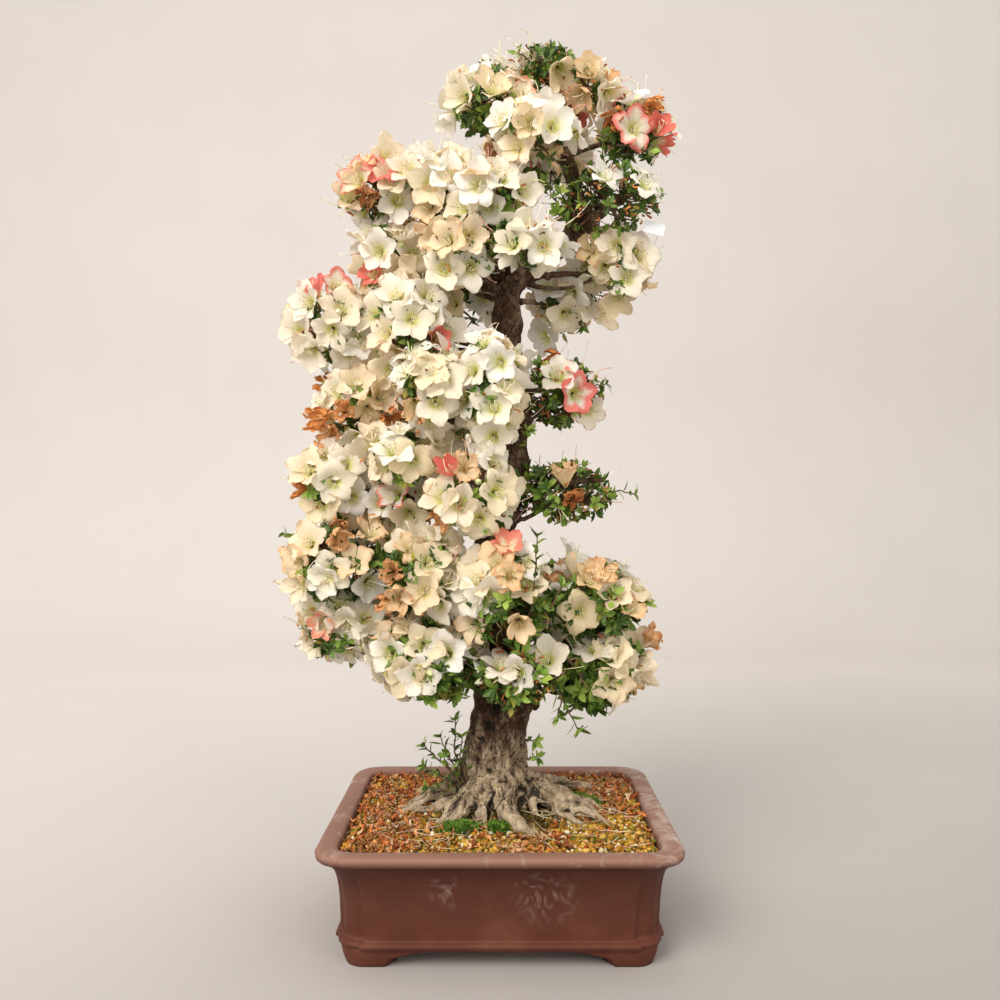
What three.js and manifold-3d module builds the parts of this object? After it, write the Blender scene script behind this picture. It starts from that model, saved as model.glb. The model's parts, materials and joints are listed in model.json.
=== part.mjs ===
// A flowering azalea bonsai in a rectangular clay pot with cut corners and four cloud feet.
// Millimetres, +Z up. Everything is laid out around the pot's centre with the feet on Z = 0,
// and the whole group is moved at the end so that its origin is under the middle of its box.
import * as THREE from 'three';
import { mergeVertices } from 'three/addons/utils/BufferGeometryUtils.js';
import Module from 'manifold-3d';

const wasm = await Module();
wasm.setup();

// Driving dimensions.
const POT_WIDTH = 370;
const POT_DEPTH = 302;
const POT_HEIGHT = 119;
const FOOT_HEIGHT = 18;
const FOOT_LENGTH = 84;
const FOOT_FLAT = 39;
const FOOT_THICKNESS = 17;
const WALL = 10;
const LIP_WIDTH = 21;
const LIP_THICKNESS = 10;
const FLOOR_TOP = 28;
const BODY_INSET_TOP = 17;
const BODY_INSET_BOTTOM = 21;
const BAND_HEIGHT = 9;
const DRAIN_RADIUS = 14;
const DRAIN_SPACING = 170;
const SCREEN_SIZE = 44;
const SCREEN_THICKNESS = 1.4;
const SCREEN_OPENING = 6;
const SCREEN_PITCH = 9.5;
const CLIP_WIRE = 1.5;
const SOIL_EDGE = 110;
const SOIL_MOUND = 15;
const GAP = 0.35;
const TAG_LENGTH = 24;
const TAG_HEIGHT = 13;
const TAG_THICKNESS = 0.8;
const TAG_EYE = 1.8;
const TAG_CORNER = [158, -20, 764];
const TAG_TILT = 14;
const PAD_DETAIL = 1;
const BRANCH_SIDES = 5;
const BRANCH_STEPS = 4;

// ---------------------------------------------------------------- making solids

// A closed mesh as a solid that can be joined and cut.
function solid(geometry) {
  const bare = geometry.index ? geometry.clone() : geometry;
  bare.deleteAttribute('normal');
  bare.deleteAttribute('uv');
  const merged = mergeVertices(bare, 1e-4);
  return new wasm.Manifold(new wasm.Mesh({
    numProp: 3,
    vertProperties: new Float32Array(merged.attributes.position.array),
    triVerts: new Uint32Array(merged.index.array),
  }));
}

// A solid back as a mesh's geometry.
function surface(body) {
  const mesh = body.getMesh();
  const geometry = new THREE.BufferGeometry();
  geometry.setAttribute('position', new THREE.BufferAttribute(mesh.vertProperties, 3));
  geometry.setIndex(new THREE.BufferAttribute(mesh.triVerts, 1));
  geometry.computeVertexNormals();
  return geometry;
}

// The largest of the pieces that cutting leaves.
function largest(body) {
  const pieces = body.decompose();
  return pieces.reduce((best, piece) => (piece.volume() > best.volume() ? piece : best));
}

// A closed skin over rings that all have the same number of points, each end closed by a fan.
function loft(rings) {
  const count = rings[0].length;
  const points = rings.flat();
  const faces = [];
  for (let ring = 0; ring < rings.length - 1; ring += 1) {
    for (let side = 0; side < count; side += 1) {
      const next = (side + 1) % count;
      const low = ring * count;
      const high = low + count;
      faces.push(low + side, low + next, high + next);
      faces.push(low + side, high + next, high + side);
    }
  }
  const total = (ring) => ring.reduce((sum, p) => sum.add(p), new THREE.Vector3());
  const middle = (ring) => total(ring).divideScalar(count);
  const first = points.length;
  points.push(middle(rings[0]), middle(rings.at(-1)));
  const last = (rings.length - 1) * count;
  for (let side = 0; side < count; side += 1) {
    const next = (side + 1) % count;
    faces.push(first, next, side);
    faces.push(first + 1, last + side, last + next);
  }
  const geometry = new THREE.BufferGeometry().setFromPoints(points);
  geometry.setIndex(faces);
  return geometry;
}

// A tapered round stem along a curve: a cylinder bent along it, its radius a function of 0..1.
function stem(points, radiusAt, sides, steps) {
  const curve = new THREE.CatmullRomCurve3(points, false, 'centripetal');
  const frames = curve.computeFrenetFrames(steps);
  const geometry = new THREE.CylinderGeometry(1, 1, 1, sides, steps);
  const position = geometry.attributes.position;
  for (let i = 0; i < position.count; i += 1) {
    const along = THREE.MathUtils.clamp(position.getY(i) + 0.5, 0, 1);
    const step = Math.round(along * steps);
    const centre = curve.getPointAt(along);
    const radius = radiusAt(along);
    centre.addScaledVector(frames.binormals[step], position.getX(i) * radius);
    centre.addScaledVector(frames.normals[step], position.getZ(i) * radius);
    position.setXYZ(i, centre.x, centre.y, centre.z);
  }
  return geometry;
}

const bonsai = new THREE.Group();

function add(name, geometry, material) {
  const mesh = new THREE.Mesh(geometry, material);
  mesh.name = name;
  bonsai.add(mesh);
  return mesh;
}

// ---------------------------------------------------------------- pot

const CLAY = { color: 0x6e4437, roughness: 0.78, metalness: 0 };
const CORNER_STEPS = 5;

// One level of the pot: a rectangle whose corners are set back by a notch and then rounded.
function potRing(halfWidth, halfDepth, radius, notch, height) {
  const corner = [];
  const reach = radius + 2.2 * notch;
  corner.push([0, -reach]);
  for (let step = 0; step <= CORNER_STEPS; step += 1) {
    const angle = (step / CORNER_STEPS) * Math.PI / 2;
    const inset = notch + radius;
    corner.push([radius * Math.cos(angle) - inset, radius * Math.sin(angle) - inset]);
  }
  corner.push([-reach, 0]);
  const ring = [];
  for (const [signX, signY] of [[1, 1], [-1, 1], [-1, -1], [1, -1]]) {
    const order = signX * signY > 0 ? corner : [...corner].reverse();
    for (const [x, y] of order) {
      ring.push(new THREE.Vector3(signX * (halfWidth + x), signY * (halfDepth + y), height));
    }
  }
  return ring;
}

// A level given by how far it is inset from the lip's outer edge.
function potLevel(inset, height, radius, notch) {
  return potRing(POT_WIDTH / 2 - inset, POT_DEPTH / 2 - inset, radius, notch, height);
}

// One bracket of a foot: flat on the ground, with a stepped cloud curve up to the pot's apron.
function footBracket() {
  const outline = new THREE.Shape();
  const flatStart = 9;
  const flatEnd = flatStart + FOOT_FLAT;
  outline.moveTo(0, FOOT_HEIGHT + 2);
  outline.lineTo(0, FOOT_HEIGHT * 0.6);
  outline.quadraticCurveTo(2, 1, flatStart, 0);
  outline.lineTo(flatEnd, 0);
  outline.quadraticCurveTo(flatEnd + 6, 1, flatEnd + 8, 7);
  outline.quadraticCurveTo(flatEnd + 17, 15, FOOT_LENGTH, FOOT_HEIGHT);
  outline.lineTo(FOOT_LENGTH, FOOT_HEIGHT + 2);
  const plate = new THREE.ExtrudeGeometry(outline, {
    depth: FOOT_THICKNESS,
    bevelEnabled: false,
    curveSegments: 4,
  });
  plate.rotateX(Math.PI / 2);
  plate.translate(0, FOOT_THICKNESS, 0);
  return plate;
}

// A corner foot is two brackets at a right angle.
function foot(cornerX, cornerY, quarterTurns) {
  const along = footBracket();
  const across = footBracket();
  across.rotateZ(Math.PI / 2);
  across.translate(FOOT_THICKNESS, 0, 0);
  const both = solid(along).add(solid(across));
  return both.rotate([0, 0, 90 * quarterTurns]).translate([cornerX, cornerY, 0]);
}

function potSolid() {
  const lipRound = 3;
  const under = POT_HEIGHT - LIP_THICKNESS;
  const band = FOOT_HEIGHT + BAND_HEIGHT;
  const shell = solid(loft([
    potLevel(BODY_INSET_BOTTOM + 3, FOOT_HEIGHT, 20, 4),
    potLevel(BODY_INSET_BOTTOM, FOOT_HEIGHT + 1, 20, 4),
    potLevel(BODY_INSET_BOTTOM - 2, FOOT_HEIGHT + BAND_HEIGHT / 2, 21, 4),
    potLevel(BODY_INSET_BOTTOM, band - 1, 20, 4),
    potLevel(BODY_INSET_BOTTOM + 1, band + 1, 20, 4),
    potLevel(BODY_INSET_BOTTOM - 0.5, FOOT_HEIGHT + 34, 20, 4),
    potLevel(BODY_INSET_TOP + 1, FOOT_HEIGHT + 58, 21, 4),
    potLevel(BODY_INSET_TOP - 2.5, under - 8, 22, 4),
    potLevel(BODY_INSET_TOP - 8, under - 2, 24, 3),
    potLevel(3, under, 26, 2),
    potLevel(0.6, under + lipRound, 27, 1.5),
    potLevel(0, POT_HEIGHT - lipRound, 27, 1.5),
    potLevel(1.5, POT_HEIGHT - 0.8, 26, 1.5),
    potLevel(4, POT_HEIGHT, 25, 1),
    potLevel(LIP_WIDTH - 2, POT_HEIGHT - 0.6, 18, 0.5),
    potLevel(LIP_WIDTH, POT_HEIGHT - 2.5, 17, 0.5),
    potLevel(BODY_INSET_TOP + WALL, under - 6, 15, 0.5),
    potLevel(BODY_INSET_BOTTOM + WALL + 2, FLOOR_TOP + 6, 13, 0.5),
    potLevel(BODY_INSET_BOTTOM + WALL + 6, FLOOR_TOP, 11, 0.5),
  ]));
  const footX = POT_WIDTH / 2 - BODY_INSET_BOTTOM - 3;
  const footY = POT_DEPTH / 2 - BODY_INSET_BOTTOM - 3;
  const footprint = solid(loft([
    potRing(footX, footY, 18, 4, -1),
    potRing(footX, footY, 18, 4, FOOT_HEIGHT + 3),
  ]));
  const feet = foot(-footX, -footY, 0)
    .add(foot(footX, -footY, 1))
    .add(foot(footX, footY, 2))
    .add(foot(-footX, footY, 3))
    .intersect(footprint);
  let body = shell.add(feet);
  for (const side of [-1, 1]) {
    const hole = new THREE.CylinderGeometry(DRAIN_RADIUS, DRAIN_RADIUS, FLOOR_TOP * 2, 20);
    hole.rotateX(Math.PI / 2);
    hole.translate(side * DRAIN_SPACING / 2, 0, FLOOR_TOP);
    body = body.subtract(solid(hole));
  }
  return body;
}

const pot = potSolid();
add('pot', surface(pot), new THREE.MeshStandardMaterial(CLAY));

// ---------------------------------------------------------------- drain screens and their clips

// A square of plastic mesh that lies over a drainage hole and keeps the soil in.
function drainScreen() {
  let screen = solid(new THREE.BoxGeometry(SCREEN_SIZE, SCREEN_SIZE, SCREEN_THICKNESS));
  for (const row of [-1.5, -0.5, 0.5, 1.5]) {
    for (const column of [-1.5, -0.5, 0.5, 1.5]) {
      const opening = new THREE.BoxGeometry(SCREEN_OPENING, SCREEN_OPENING, SCREEN_THICKNESS * 3);
      opening.translate(column * SCREEN_PITCH, row * SCREEN_PITCH, 0);
      screen = screen.subtract(solid(opening));
    }
  }
  return surface(screen);
}

// A wire staple: across the top of the screen, down through it and the hole, and out under the floor.
function screenClip() {
  const top = FLOOR_TOP + GAP + SCREEN_THICKNESS + CLIP_WIRE / 2 + GAP;
  const legX = SCREEN_PITCH / 2;
  const under = FOOT_HEIGHT - CLIP_WIRE / 2 - 0.6;
  const half = [
    [0, top],
    [legX - 1, top],
    [legX, top - 2.5],
    [legX, under + 5],
    [legX + 3, under],
    [DRAIN_RADIUS + 9, under],
  ];
  const left = half.slice(1).reverse().map(([x, z]) => new THREE.Vector3(-x, SCREEN_PITCH / 2, z));
  const right = half.map(([x, z]) => new THREE.Vector3(x, SCREEN_PITCH / 2, z));
  const path = new THREE.CatmullRomCurve3([...left, ...right], false, 'catmullrom', 0.1);
  const section = new THREE.Shape();
  section.absarc(0, 0, CLIP_WIRE / 2, 0, Math.PI * 2);
  return new THREE.ExtrudeGeometry(section, { steps: 26, curveSegments: 3, extrudePath: path });
}

const soilCutters = [];
for (const [side, name] of [[-1, 'left'], [1, 'right']]) {
  const x = side * DRAIN_SPACING / 2;
  const screen = add(`drain_screen_${name}`, drainScreen(), new THREE.MeshStandardMaterial({
    color: 0x1f2a22, roughness: 0.6, metalness: 0,
  }));
  screen.position.set(x, 0, FLOOR_TOP + GAP + SCREEN_THICKNESS / 2);
  const clip = add(`screen_clip_${name}`, screenClip(), new THREE.MeshStandardMaterial({
    color: 0x9a7f66, roughness: 0.4, metalness: 1,
  }));
  clip.position.x = x;
  const room = new THREE.BoxGeometry(SCREEN_SIZE + 1, SCREEN_SIZE + 1, 12);
  room.translate(x, 0, FLOOR_TOP);
  soilCutters.push(solid(room));
}

// ---------------------------------------------------------------- wood: trunk, roots and branches

// The trunk's centre line from below the soil to the apex: x, y, z and radius.
const TRUNK = [
  [-3, 12, 100, 46],
  [-4, 12, 136, 44],
  [-5, 10, 166, 39.5],
  [-5, 8, 191, 36.5],
  [2, 8, 237, 34.5],
  [4, 5, 300, 29],
  [-8, 5, 360, 25],
  [-14, 5, 400, 22],
  [2, 5, 445, 21],
  [18, 5, 540, 19.5],
  [14, 2, 600, 18.5],
  [9, 0, 644, 17.5],
  [9, 0, 700, 16.5],
  [18, 2, 722, 17.5],
  [48, 4, 741, 16],
  [80, 5, 764, 14],
  [92, 5, 796, 11.5],
  [80, 6, 838, 9.5],
  [74, 5, 880, 8],
  [66, 4, 920, 5.5],
  [52, 4, 950, 3.5],
];

// Surface roots spreading over the soil: the points of each, then its first and last radius.
const ROOTS = [
  { points: [[-30, 12, 150], [-62, 8, 136], [-92, 4, 124], [-124, -2, 108]], from: 14, to: 6 },
  { points: [[-30, 24, 146], [-66, 38, 130], [-112, 52, 108]], from: 12, to: 5 },
  { points: [[-26, -6, 150], [-46, -24, 134], [-58, -40, 120], [-66, -56, 106]], from: 13, to: 6 },
  { points: [[-16, -14, 146], [-24, -34, 126], [-20, -50, 106]], from: 9, to: 3.5 },
  { points: [[8, -12, 154], [6, -34, 136], [18, -50, 122], [40, -68, 106]], from: 13.5, to: 6.5 },
  { points: [[20, -8, 148], [34, -26, 128], [38, -40, 106]], from: 10, to: 4 },
  { points: [[28, 2, 152], [64, -8, 134], [96, -14, 122], [122, -20, 106]], from: 14, to: 5 },
  { points: [[70, -8, 132], [104, -30, 118], [132, -44, 106]], from: 8, to: 3 },
  { points: [[28, 22, 148], [66, 46, 130], [104, 70, 118], [122, 82, 106]], from: 13, to: 5 },
  { points: [[4, 36, 146], [10, 66, 128], [20, 104, 106]], from: 13, to: 5 },
  { points: [[-22, 34, 146], [-48, 70, 126], [-66, 96, 106]], from: 12, to: 5 },
];

// Foliage and blossom pads: centre, reach to each side, and the trunk height their branch leaves from.
const PADS = [
  { name: 'blossoms_crown_left', at: [-15, -10, 917], reach: [46, 38, 38], fork: 850 },
  { name: 'leaves_crown_top', at: [47, 0, 954], reach: [40, 32, 24], fork: 925 },
  { name: 'blossoms_crown_right', at: [99, 5, 932], reach: [37, 38, 32], fork: 885 },
  { name: 'blossoms_crown_tip', at: [152, 0, 886], reach: [42, 38, 38], fork: 860 },
  { name: 'blossoms_crown_front', at: [36, -46, 862], reach: [46, 34, 37], fork: 845 },
  { name: 'blossoms_crown_back', at: [50, 60, 890], reach: [68, 40, 50], fork: 850 },
  { name: 'blossoms_upper_left_end', at: [-135, -2, 811], reach: [46, 46, 44], fork: 712 },
  { name: 'blossoms_upper_left', at: [-66, -30, 811], reach: [44, 44, 40], fork: 735 },
  { name: 'blossoms_upper_front', at: [-8, -58, 791], reach: [44, 36, 38], fork: 745 },
  { name: 'blossoms_upper_left_low', at: [-122, 2, 738], reach: [48, 46, 42], fork: 700 },
  { name: 'blossoms_centre_left', at: [-44, -60, 731], reach: [38, 34, 36], fork: 695 },
  { name: 'blossoms_centre_right', at: [30, -84, 731], reach: [40, 26, 27], fork: 720 },
  { name: 'leaves_upper_right', at: [123, -16, 800], reach: [56, 46, 38], fork: 735 },
  { name: 'blossoms_upper_right_low', at: [134, 24, 738], reach: [46, 46, 42], fork: 715 },
  { name: 'blossoms_upper_right_back', at: [76, 58, 706], reach: [44, 38, 42], fork: 690 },
  { name: 'blossoms_middle_left_end', at: [-187, 0, 664], reach: [54, 50, 48], fork: 620 },
  { name: 'blossoms_middle_left', at: [-98, -25, 661], reach: [46, 48, 48], fork: 630 },
  { name: 'blossoms_middle_front_left', at: [-74, -60, 587], reach: [40, 42, 44], fork: 560 },
  { name: 'blossoms_middle_front', at: [-6, -66, 580], reach: [38, 36, 62], fork: 550 },
  { name: 'blossoms_middle_left_low', at: [-160, 6, 570], reach: [48, 48, 46], fork: 545 },
  { name: 'blossoms_centre_left_low', at: [-104, -40, 516], reach: [48, 40, 34], fork: 490 },
  { name: 'leaves_middle_right', at: [68, 8, 590], reach: [46, 44, 38], fork: 550 },
  { name: 'blossoms_left_edge', at: [-190, 0, 488], reach: [44, 44, 42], fork: 450 },
  { name: 'blossoms_lower_left_inner', at: [-112, 10, 462], reach: [44, 44, 38], fork: 430 },
  { name: 'blossoms_lower_middle_front', at: [-30, -66, 472], reach: [48, 38, 46], fork: 430 },
  { name: 'leaves_lower_right', at: [70, -5, 474], reach: [58, 46, 34], fork: 430 },
  { name: 'blossoms_low_left', at: [-176, -10, 397], reach: [66, 50, 50], fork: 365 },
  { name: 'blossoms_low_left_under', at: [-176, 12, 325], reach: [60, 50, 44], fork: 330 },
  { name: 'blossoms_low_front_left', at: [-84, -52, 380], reach: [48, 45, 48], fork: 345 },
  { name: 'blossoms_low_front', at: [4, -78, 366], reach: [46, 40, 54], fork: 335 },
  { name: 'blossoms_low_front_under', at: [-78, -46, 294], reach: [62, 48, 44], fork: 300 },
  { name: 'leaves_low_centre', at: [18, -64, 282], reach: [48, 34, 34], fork: 300 },
  { name: 'blossoms_low_right', at: [104, -18, 352], reach: [60, 50, 46], fork: 325 },
  { name: 'blossoms_low_right_under', at: [112, -10, 276], reach: [58, 52, 42], fork: 290 },
  { name: 'blossoms_low_back_left', at: [-94, 84, 346], reach: [74, 46, 66], fork: 320 },
  { name: 'blossoms_low_back_right', at: [52, 80, 332], reach: [70, 46, 62], fork: 310 },
  { name: 'blossoms_middle_back', at: [-50, 74, 560], reach: [84, 44, 72], fork: 520 },
  { name: 'blossoms_upper_back', at: [-54, 66, 738], reach: [84, 46, 66], fork: 690 },
  { name: 'leaves_base_shoots', at: [-62, 4, 180], reach: [25, 22, 40], fork: 158 },
];

const vector = ([x, y, z]) => new THREE.Vector3(x, y, z);
const trunkPoints = TRUNK.map((row) => vector(row));
const trunkLine = new THREE.CatmullRomCurve3(trunkPoints, false, 'centripetal');

// The trunk's radius a share of the way along its length.
function trunkRadius(along) {
  const height = trunkLine.getPointAt(along).z;
  const above = TRUNK.findIndex((row) => row[2] >= height);
  if (above < 1) {
    return above === 0 ? TRUNK[0][3] : TRUNK.at(-1)[3];
  }
  const [low, high] = [TRUNK[above - 1], TRUNK[above]];
  const share = (height - low[2]) / (high[2] - low[2]);
  return THREE.MathUtils.lerp(low[3], high[3], share);
}

// The trunk's centre at a height.
function trunkAt(height) {
  const above = Math.max(1, TRUNK.findIndex((row) => row[2] >= height));
  const [low, high] = [TRUNK[above - 1], TRUNK[above]];
  const share = (height - low[2]) / (high[2] - low[2]);
  return vector(low).lerp(vector(high), share);
}

// A branch leaves the trunk level, arches a little and ends in the heart of its pad.
function branch(pad, clearance) {
  const start = trunkAt(pad.fork);
  const heart = vector(pad.at);
  heart.z -= pad.reach[2] * 0.25;
  const length = start.distanceTo(heart);
  const third = start.clone().lerp(heart, 0.4);
  third.z = THREE.MathUtils.lerp(start.z, heart.z, 0.25) + length * 0.05;
  const base = 3.2 + length * 0.03;
  const radiusAt = (along) => THREE.MathUtils.lerp(base, 2, along) + clearance;
  return stem([start, third, heart], radiusAt, BRANCH_SIDES, BRANCH_STEPS);
}

// The whole of the wood is one grown piece, optionally swollen to cut room for it in its neighbours.
function wood(clearance) {
  let body = solid(stem(trunkPoints, (along) => trunkRadius(along) + clearance, 12, 28));
  for (const root of ROOTS) {
    const radiusAt = (along) => THREE.MathUtils.lerp(root.from, root.to, along) + clearance;
    body = body.add(solid(stem(root.points.map(vector), radiusAt, 7, 6)));
  }
  for (const pad of PADS) {
    body = body.add(solid(branch(pad, clearance)));
  }
  return body;
}

const wooden = wood(0);
const woodRoom = wood(GAP);
add('trunk_and_branches', surface(wooden), new THREE.MeshStandardMaterial({
  color: 0x6b5d4c, roughness: 0.92, metalness: 0,
}));

// ---------------------------------------------------------------- soil

// The soil is a little mounded at the trunk.
function soilHeight(x, y) {
  return SOIL_EDGE + SOIL_MOUND * Math.exp(-((x / 78) ** 2) - (((y - 8) / 62) ** 2));
}

function soilSolid() {
  const inset = BODY_INSET_TOP + WALL + 1;
  const rings = [
    potLevel(BODY_INSET_BOTTOM + WALL + 7, FLOOR_TOP + GAP, 11, 0.5),
    potLevel(BODY_INSET_BOTTOM + WALL + 3, FLOOR_TOP + 7, 12, 0.5),
    potLevel(inset, POT_HEIGHT - LIP_THICKNESS - 7, 14, 0.5),
    potLevel(inset, SOIL_EDGE - 3, 14, 0.5),
  ];
  for (const share of [0.97, 0.8, 0.6, 0.42, 0.26, 0.12]) {
    const ring = rings[3].map((point) => new THREE.Vector3(point.x * share, point.y * share, 0));
    ring.forEach((point) => { point.z = soilHeight(point.x, point.y); });
    rings.push(ring);
  }
  let body = solid(loft(rings)).subtract(woodRoom);
  for (const cutter of soilCutters) {
    body = body.subtract(cutter);
  }
  return largest(body);
}

const soil = soilSolid();
add('soil', surface(soil), new THREE.MeshStandardMaterial({
  color: 0xb98a2e, roughness: 0.95, metalness: 0,
}));

// ---------------------------------------------------------------- moss

// Cushions of moss on the soil between the roots: name, middle and half sizes.
const MOSS = [
  { name: 'moss_front_left', at: [-42, -62], reach: [22, 13], height: 7 },
  { name: 'moss_front_middle', at: [0, -64], reach: [15, 10], height: 6 },
  { name: 'moss_right', at: [86, 22], reach: [32, 17], height: 7 },
];

function mossCushion(patch) {
  const cushion = new THREE.SphereGeometry(1, 16, 8);
  cushion.rotateX(Math.PI / 2);
  cushion.scale(patch.reach[0], patch.reach[1], patch.height);
  cushion.translate(patch.at[0], patch.at[1], soilHeight(...patch.at));
  let body = solid(cushion).subtract(woodRoom);
  const shifts = [
    [0, 0, GAP],
    [0, 0, -patch.height],
    [GAP, 0, 0],
    [-GAP, 0, 0],
    [0, GAP, 0],
    [0, -GAP, 0],
  ];
  for (const shift of shifts) {
    body = body.subtract(soil.translate(shift));
  }
  return largest(body);
}

for (const patch of MOSS) {
  add(patch.name, surface(mossCushion(patch)), new THREE.MeshStandardMaterial({
    color: 0x3f6b1f, roughness: 1, metalness: 0,
  }));
}

// ---------------------------------------------------------------- blank plant tag

// A plastic tag with an eye at one end, hung on the outermost twigs of the upper right pad.
function tagPlate() {
  const outline = new THREE.Shape();
  const round = 2;
  outline.moveTo(round, 0);
  outline.lineTo(TAG_LENGTH - round, 0);
  outline.quadraticCurveTo(TAG_LENGTH, 0, TAG_LENGTH, round);
  outline.lineTo(TAG_LENGTH, TAG_HEIGHT - round);
  outline.quadraticCurveTo(TAG_LENGTH, TAG_HEIGHT, TAG_LENGTH - round, TAG_HEIGHT);
  outline.lineTo(round, TAG_HEIGHT);
  outline.quadraticCurveTo(0, TAG_HEIGHT, 0, TAG_HEIGHT - round);
  outline.lineTo(0, round);
  outline.quadraticCurveTo(0, 0, round, 0);
  const eye = new THREE.Path();
  eye.absarc(TAG_EYE * 2, TAG_HEIGHT - TAG_EYE * 2, TAG_EYE, 0, Math.PI * 2, true);
  outline.holes.push(eye);
  const plate = new THREE.ExtrudeGeometry(outline, {
    depth: TAG_THICKNESS,
    bevelEnabled: false,
    curveSegments: 5,
  });
  plate.rotateX(Math.PI / 2);
  plate.rotateY(THREE.MathUtils.degToRad(TAG_TILT));
  plate.translate(...TAG_CORNER);
  return plate;
}

const tag = tagPlate();
add('plant_tag', tag, new THREE.MeshStandardMaterial({ color: 0xf4f6fa, roughness: 0.4, metalness: 0 }));
const tagRoom = new THREE.BoxGeometry(TAG_LENGTH + 4, 4, TAG_HEIGHT + 8);
tagRoom.translate(TAG_CORNER[0] + TAG_LENGTH / 2, TAG_CORNER[1], TAG_CORNER[2] + TAG_HEIGHT / 2 - 3);

// ---------------------------------------------------------------- foliage and blossom pads

// A pad's outer shape: a rounded cushion, optionally swollen.
function cushionOf(pad, clearance) {
  const shape = new THREE.IcosahedronGeometry(1, PAD_DETAIL);
  shape.scale(...pad.reach.map((side) => side + clearance));
  shape.translate(...pad.at);
  return solid(shape);
}

const taken = [solid(tagRoom), woodRoom];
for (const pad of PADS) {
  let body = cushionOf(pad, 0);
  for (const room of taken) {
    body = body.subtract(room);
  }
  taken.push(cushionOf(pad, GAP));
  const leafy = pad.name.startsWith('leaves');
  add(pad.name, surface(largest(body)), new THREE.MeshStandardMaterial({
    color: leafy ? 0x3f6f2a : 0xf3ecd9,
    roughness: leafy ? 0.55 : 0.7,
    metalness: 0,
  }));
}

// ---------------------------------------------------------------- origin under the middle of the whole

const extent = new THREE.Box3().setFromObject(bonsai, true);
const centre = extent.getCenter(new THREE.Vector3());
bonsai.position.set(-centre.x, -centre.y, -extent.min.z);
bonsai.updateMatrixWorld(true);

export default bonsai;
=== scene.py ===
import json
import math

import bmesh
import bpy
import numpy as np
from mathutils import Matrix, Vector, noise
from mathutils.bvhtree import BVHTree

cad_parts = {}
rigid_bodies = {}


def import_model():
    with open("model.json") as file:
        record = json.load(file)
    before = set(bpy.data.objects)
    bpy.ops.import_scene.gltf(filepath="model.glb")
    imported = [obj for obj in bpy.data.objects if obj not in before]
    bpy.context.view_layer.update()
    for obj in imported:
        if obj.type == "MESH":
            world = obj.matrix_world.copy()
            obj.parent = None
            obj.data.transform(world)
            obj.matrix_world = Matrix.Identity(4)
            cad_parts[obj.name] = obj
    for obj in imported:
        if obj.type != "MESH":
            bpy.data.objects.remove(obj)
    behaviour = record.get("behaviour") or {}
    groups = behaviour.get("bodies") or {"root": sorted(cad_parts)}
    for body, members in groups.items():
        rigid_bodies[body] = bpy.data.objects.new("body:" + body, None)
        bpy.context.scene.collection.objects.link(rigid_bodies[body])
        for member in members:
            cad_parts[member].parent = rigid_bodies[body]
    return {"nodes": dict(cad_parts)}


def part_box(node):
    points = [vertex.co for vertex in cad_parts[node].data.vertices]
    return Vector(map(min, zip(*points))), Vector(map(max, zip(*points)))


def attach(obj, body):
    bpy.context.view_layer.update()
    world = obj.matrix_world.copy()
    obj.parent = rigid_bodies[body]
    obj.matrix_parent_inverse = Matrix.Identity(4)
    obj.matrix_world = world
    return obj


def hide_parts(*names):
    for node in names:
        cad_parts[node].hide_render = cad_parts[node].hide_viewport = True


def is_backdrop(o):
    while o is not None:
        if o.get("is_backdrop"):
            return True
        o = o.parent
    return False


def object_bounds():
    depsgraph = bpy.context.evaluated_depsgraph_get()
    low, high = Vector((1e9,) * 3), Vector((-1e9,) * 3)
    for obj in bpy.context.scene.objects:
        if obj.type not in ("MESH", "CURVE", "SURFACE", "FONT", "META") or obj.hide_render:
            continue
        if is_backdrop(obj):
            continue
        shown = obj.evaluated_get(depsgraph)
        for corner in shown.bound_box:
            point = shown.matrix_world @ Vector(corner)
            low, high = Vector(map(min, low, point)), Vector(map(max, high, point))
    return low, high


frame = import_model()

cad_low, cad_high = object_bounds()

# The pot: one piece of reddish-brown stoneware, pressed in a mould, with a broad rolled lip, corners
# set back by a notch, a raised band near the bottom and four cloud-shaped bracket feet.

MM = 0.001
pot_low, pot_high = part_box("pot")
POT_X = (pot_low.x + pot_high.x) / 2
POT_Y = (pot_low.y + pot_high.y) / 2
POT_HALF_WIDTH = (pot_high.x - pot_low.x) / 2 / MM
POT_HALF_DEPTH = (pot_high.y - pot_low.y) / 2 / MM
DRAIN_X, DRAIN_RADIUS = 85.0, 14.0
DRILL_FROM, DRILL_TO = 10.0, 40.0
FOOT_TOP = 18.0
FOOT_ROOT = FOOT_TOP + 2.5
FOOT_REACH = 82.0
FOOT_BEND = 27
FOOT_OUTER, FOOT_INNER = 24.0, 41.0
FOOT_LEAN = 5.0
FLAT_TO = 38.0
SOLE_RISE = 11.5
CLAY = "#592C1D"
# the lighter clay is painted light on the lip's top, the darker clay painted shade under the lip
CLAY_PAINTED_TOP_LIGHT = "#8A6557"
CLAY_PAINTED_SHADE = "#3F2016"
LIME_BLOOM = "#BFB2A4"


def place(points):
    """Points in millimetres round the pot's centre, as metres in the frame."""
    return np.asarray(points, float) * MM + np.array([POT_X, POT_Y, 0.0])


def linear(colour):
    """A hex sRGB colour as linear red, green, blue and alpha."""
    parts = [int(colour[i:i + 2], 16) / 255 for i in (1, 3, 5)]
    return [c / 12.92 if c <= 0.04045 else ((c + 0.055) / 1.055) ** 2.4 for c in parts] + [1.0]


def rgb(colours):
    """Hex sRGB colours as rows of linear red, green and blue."""
    return np.array([linear(colour)[:3] for colour in colours])


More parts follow.
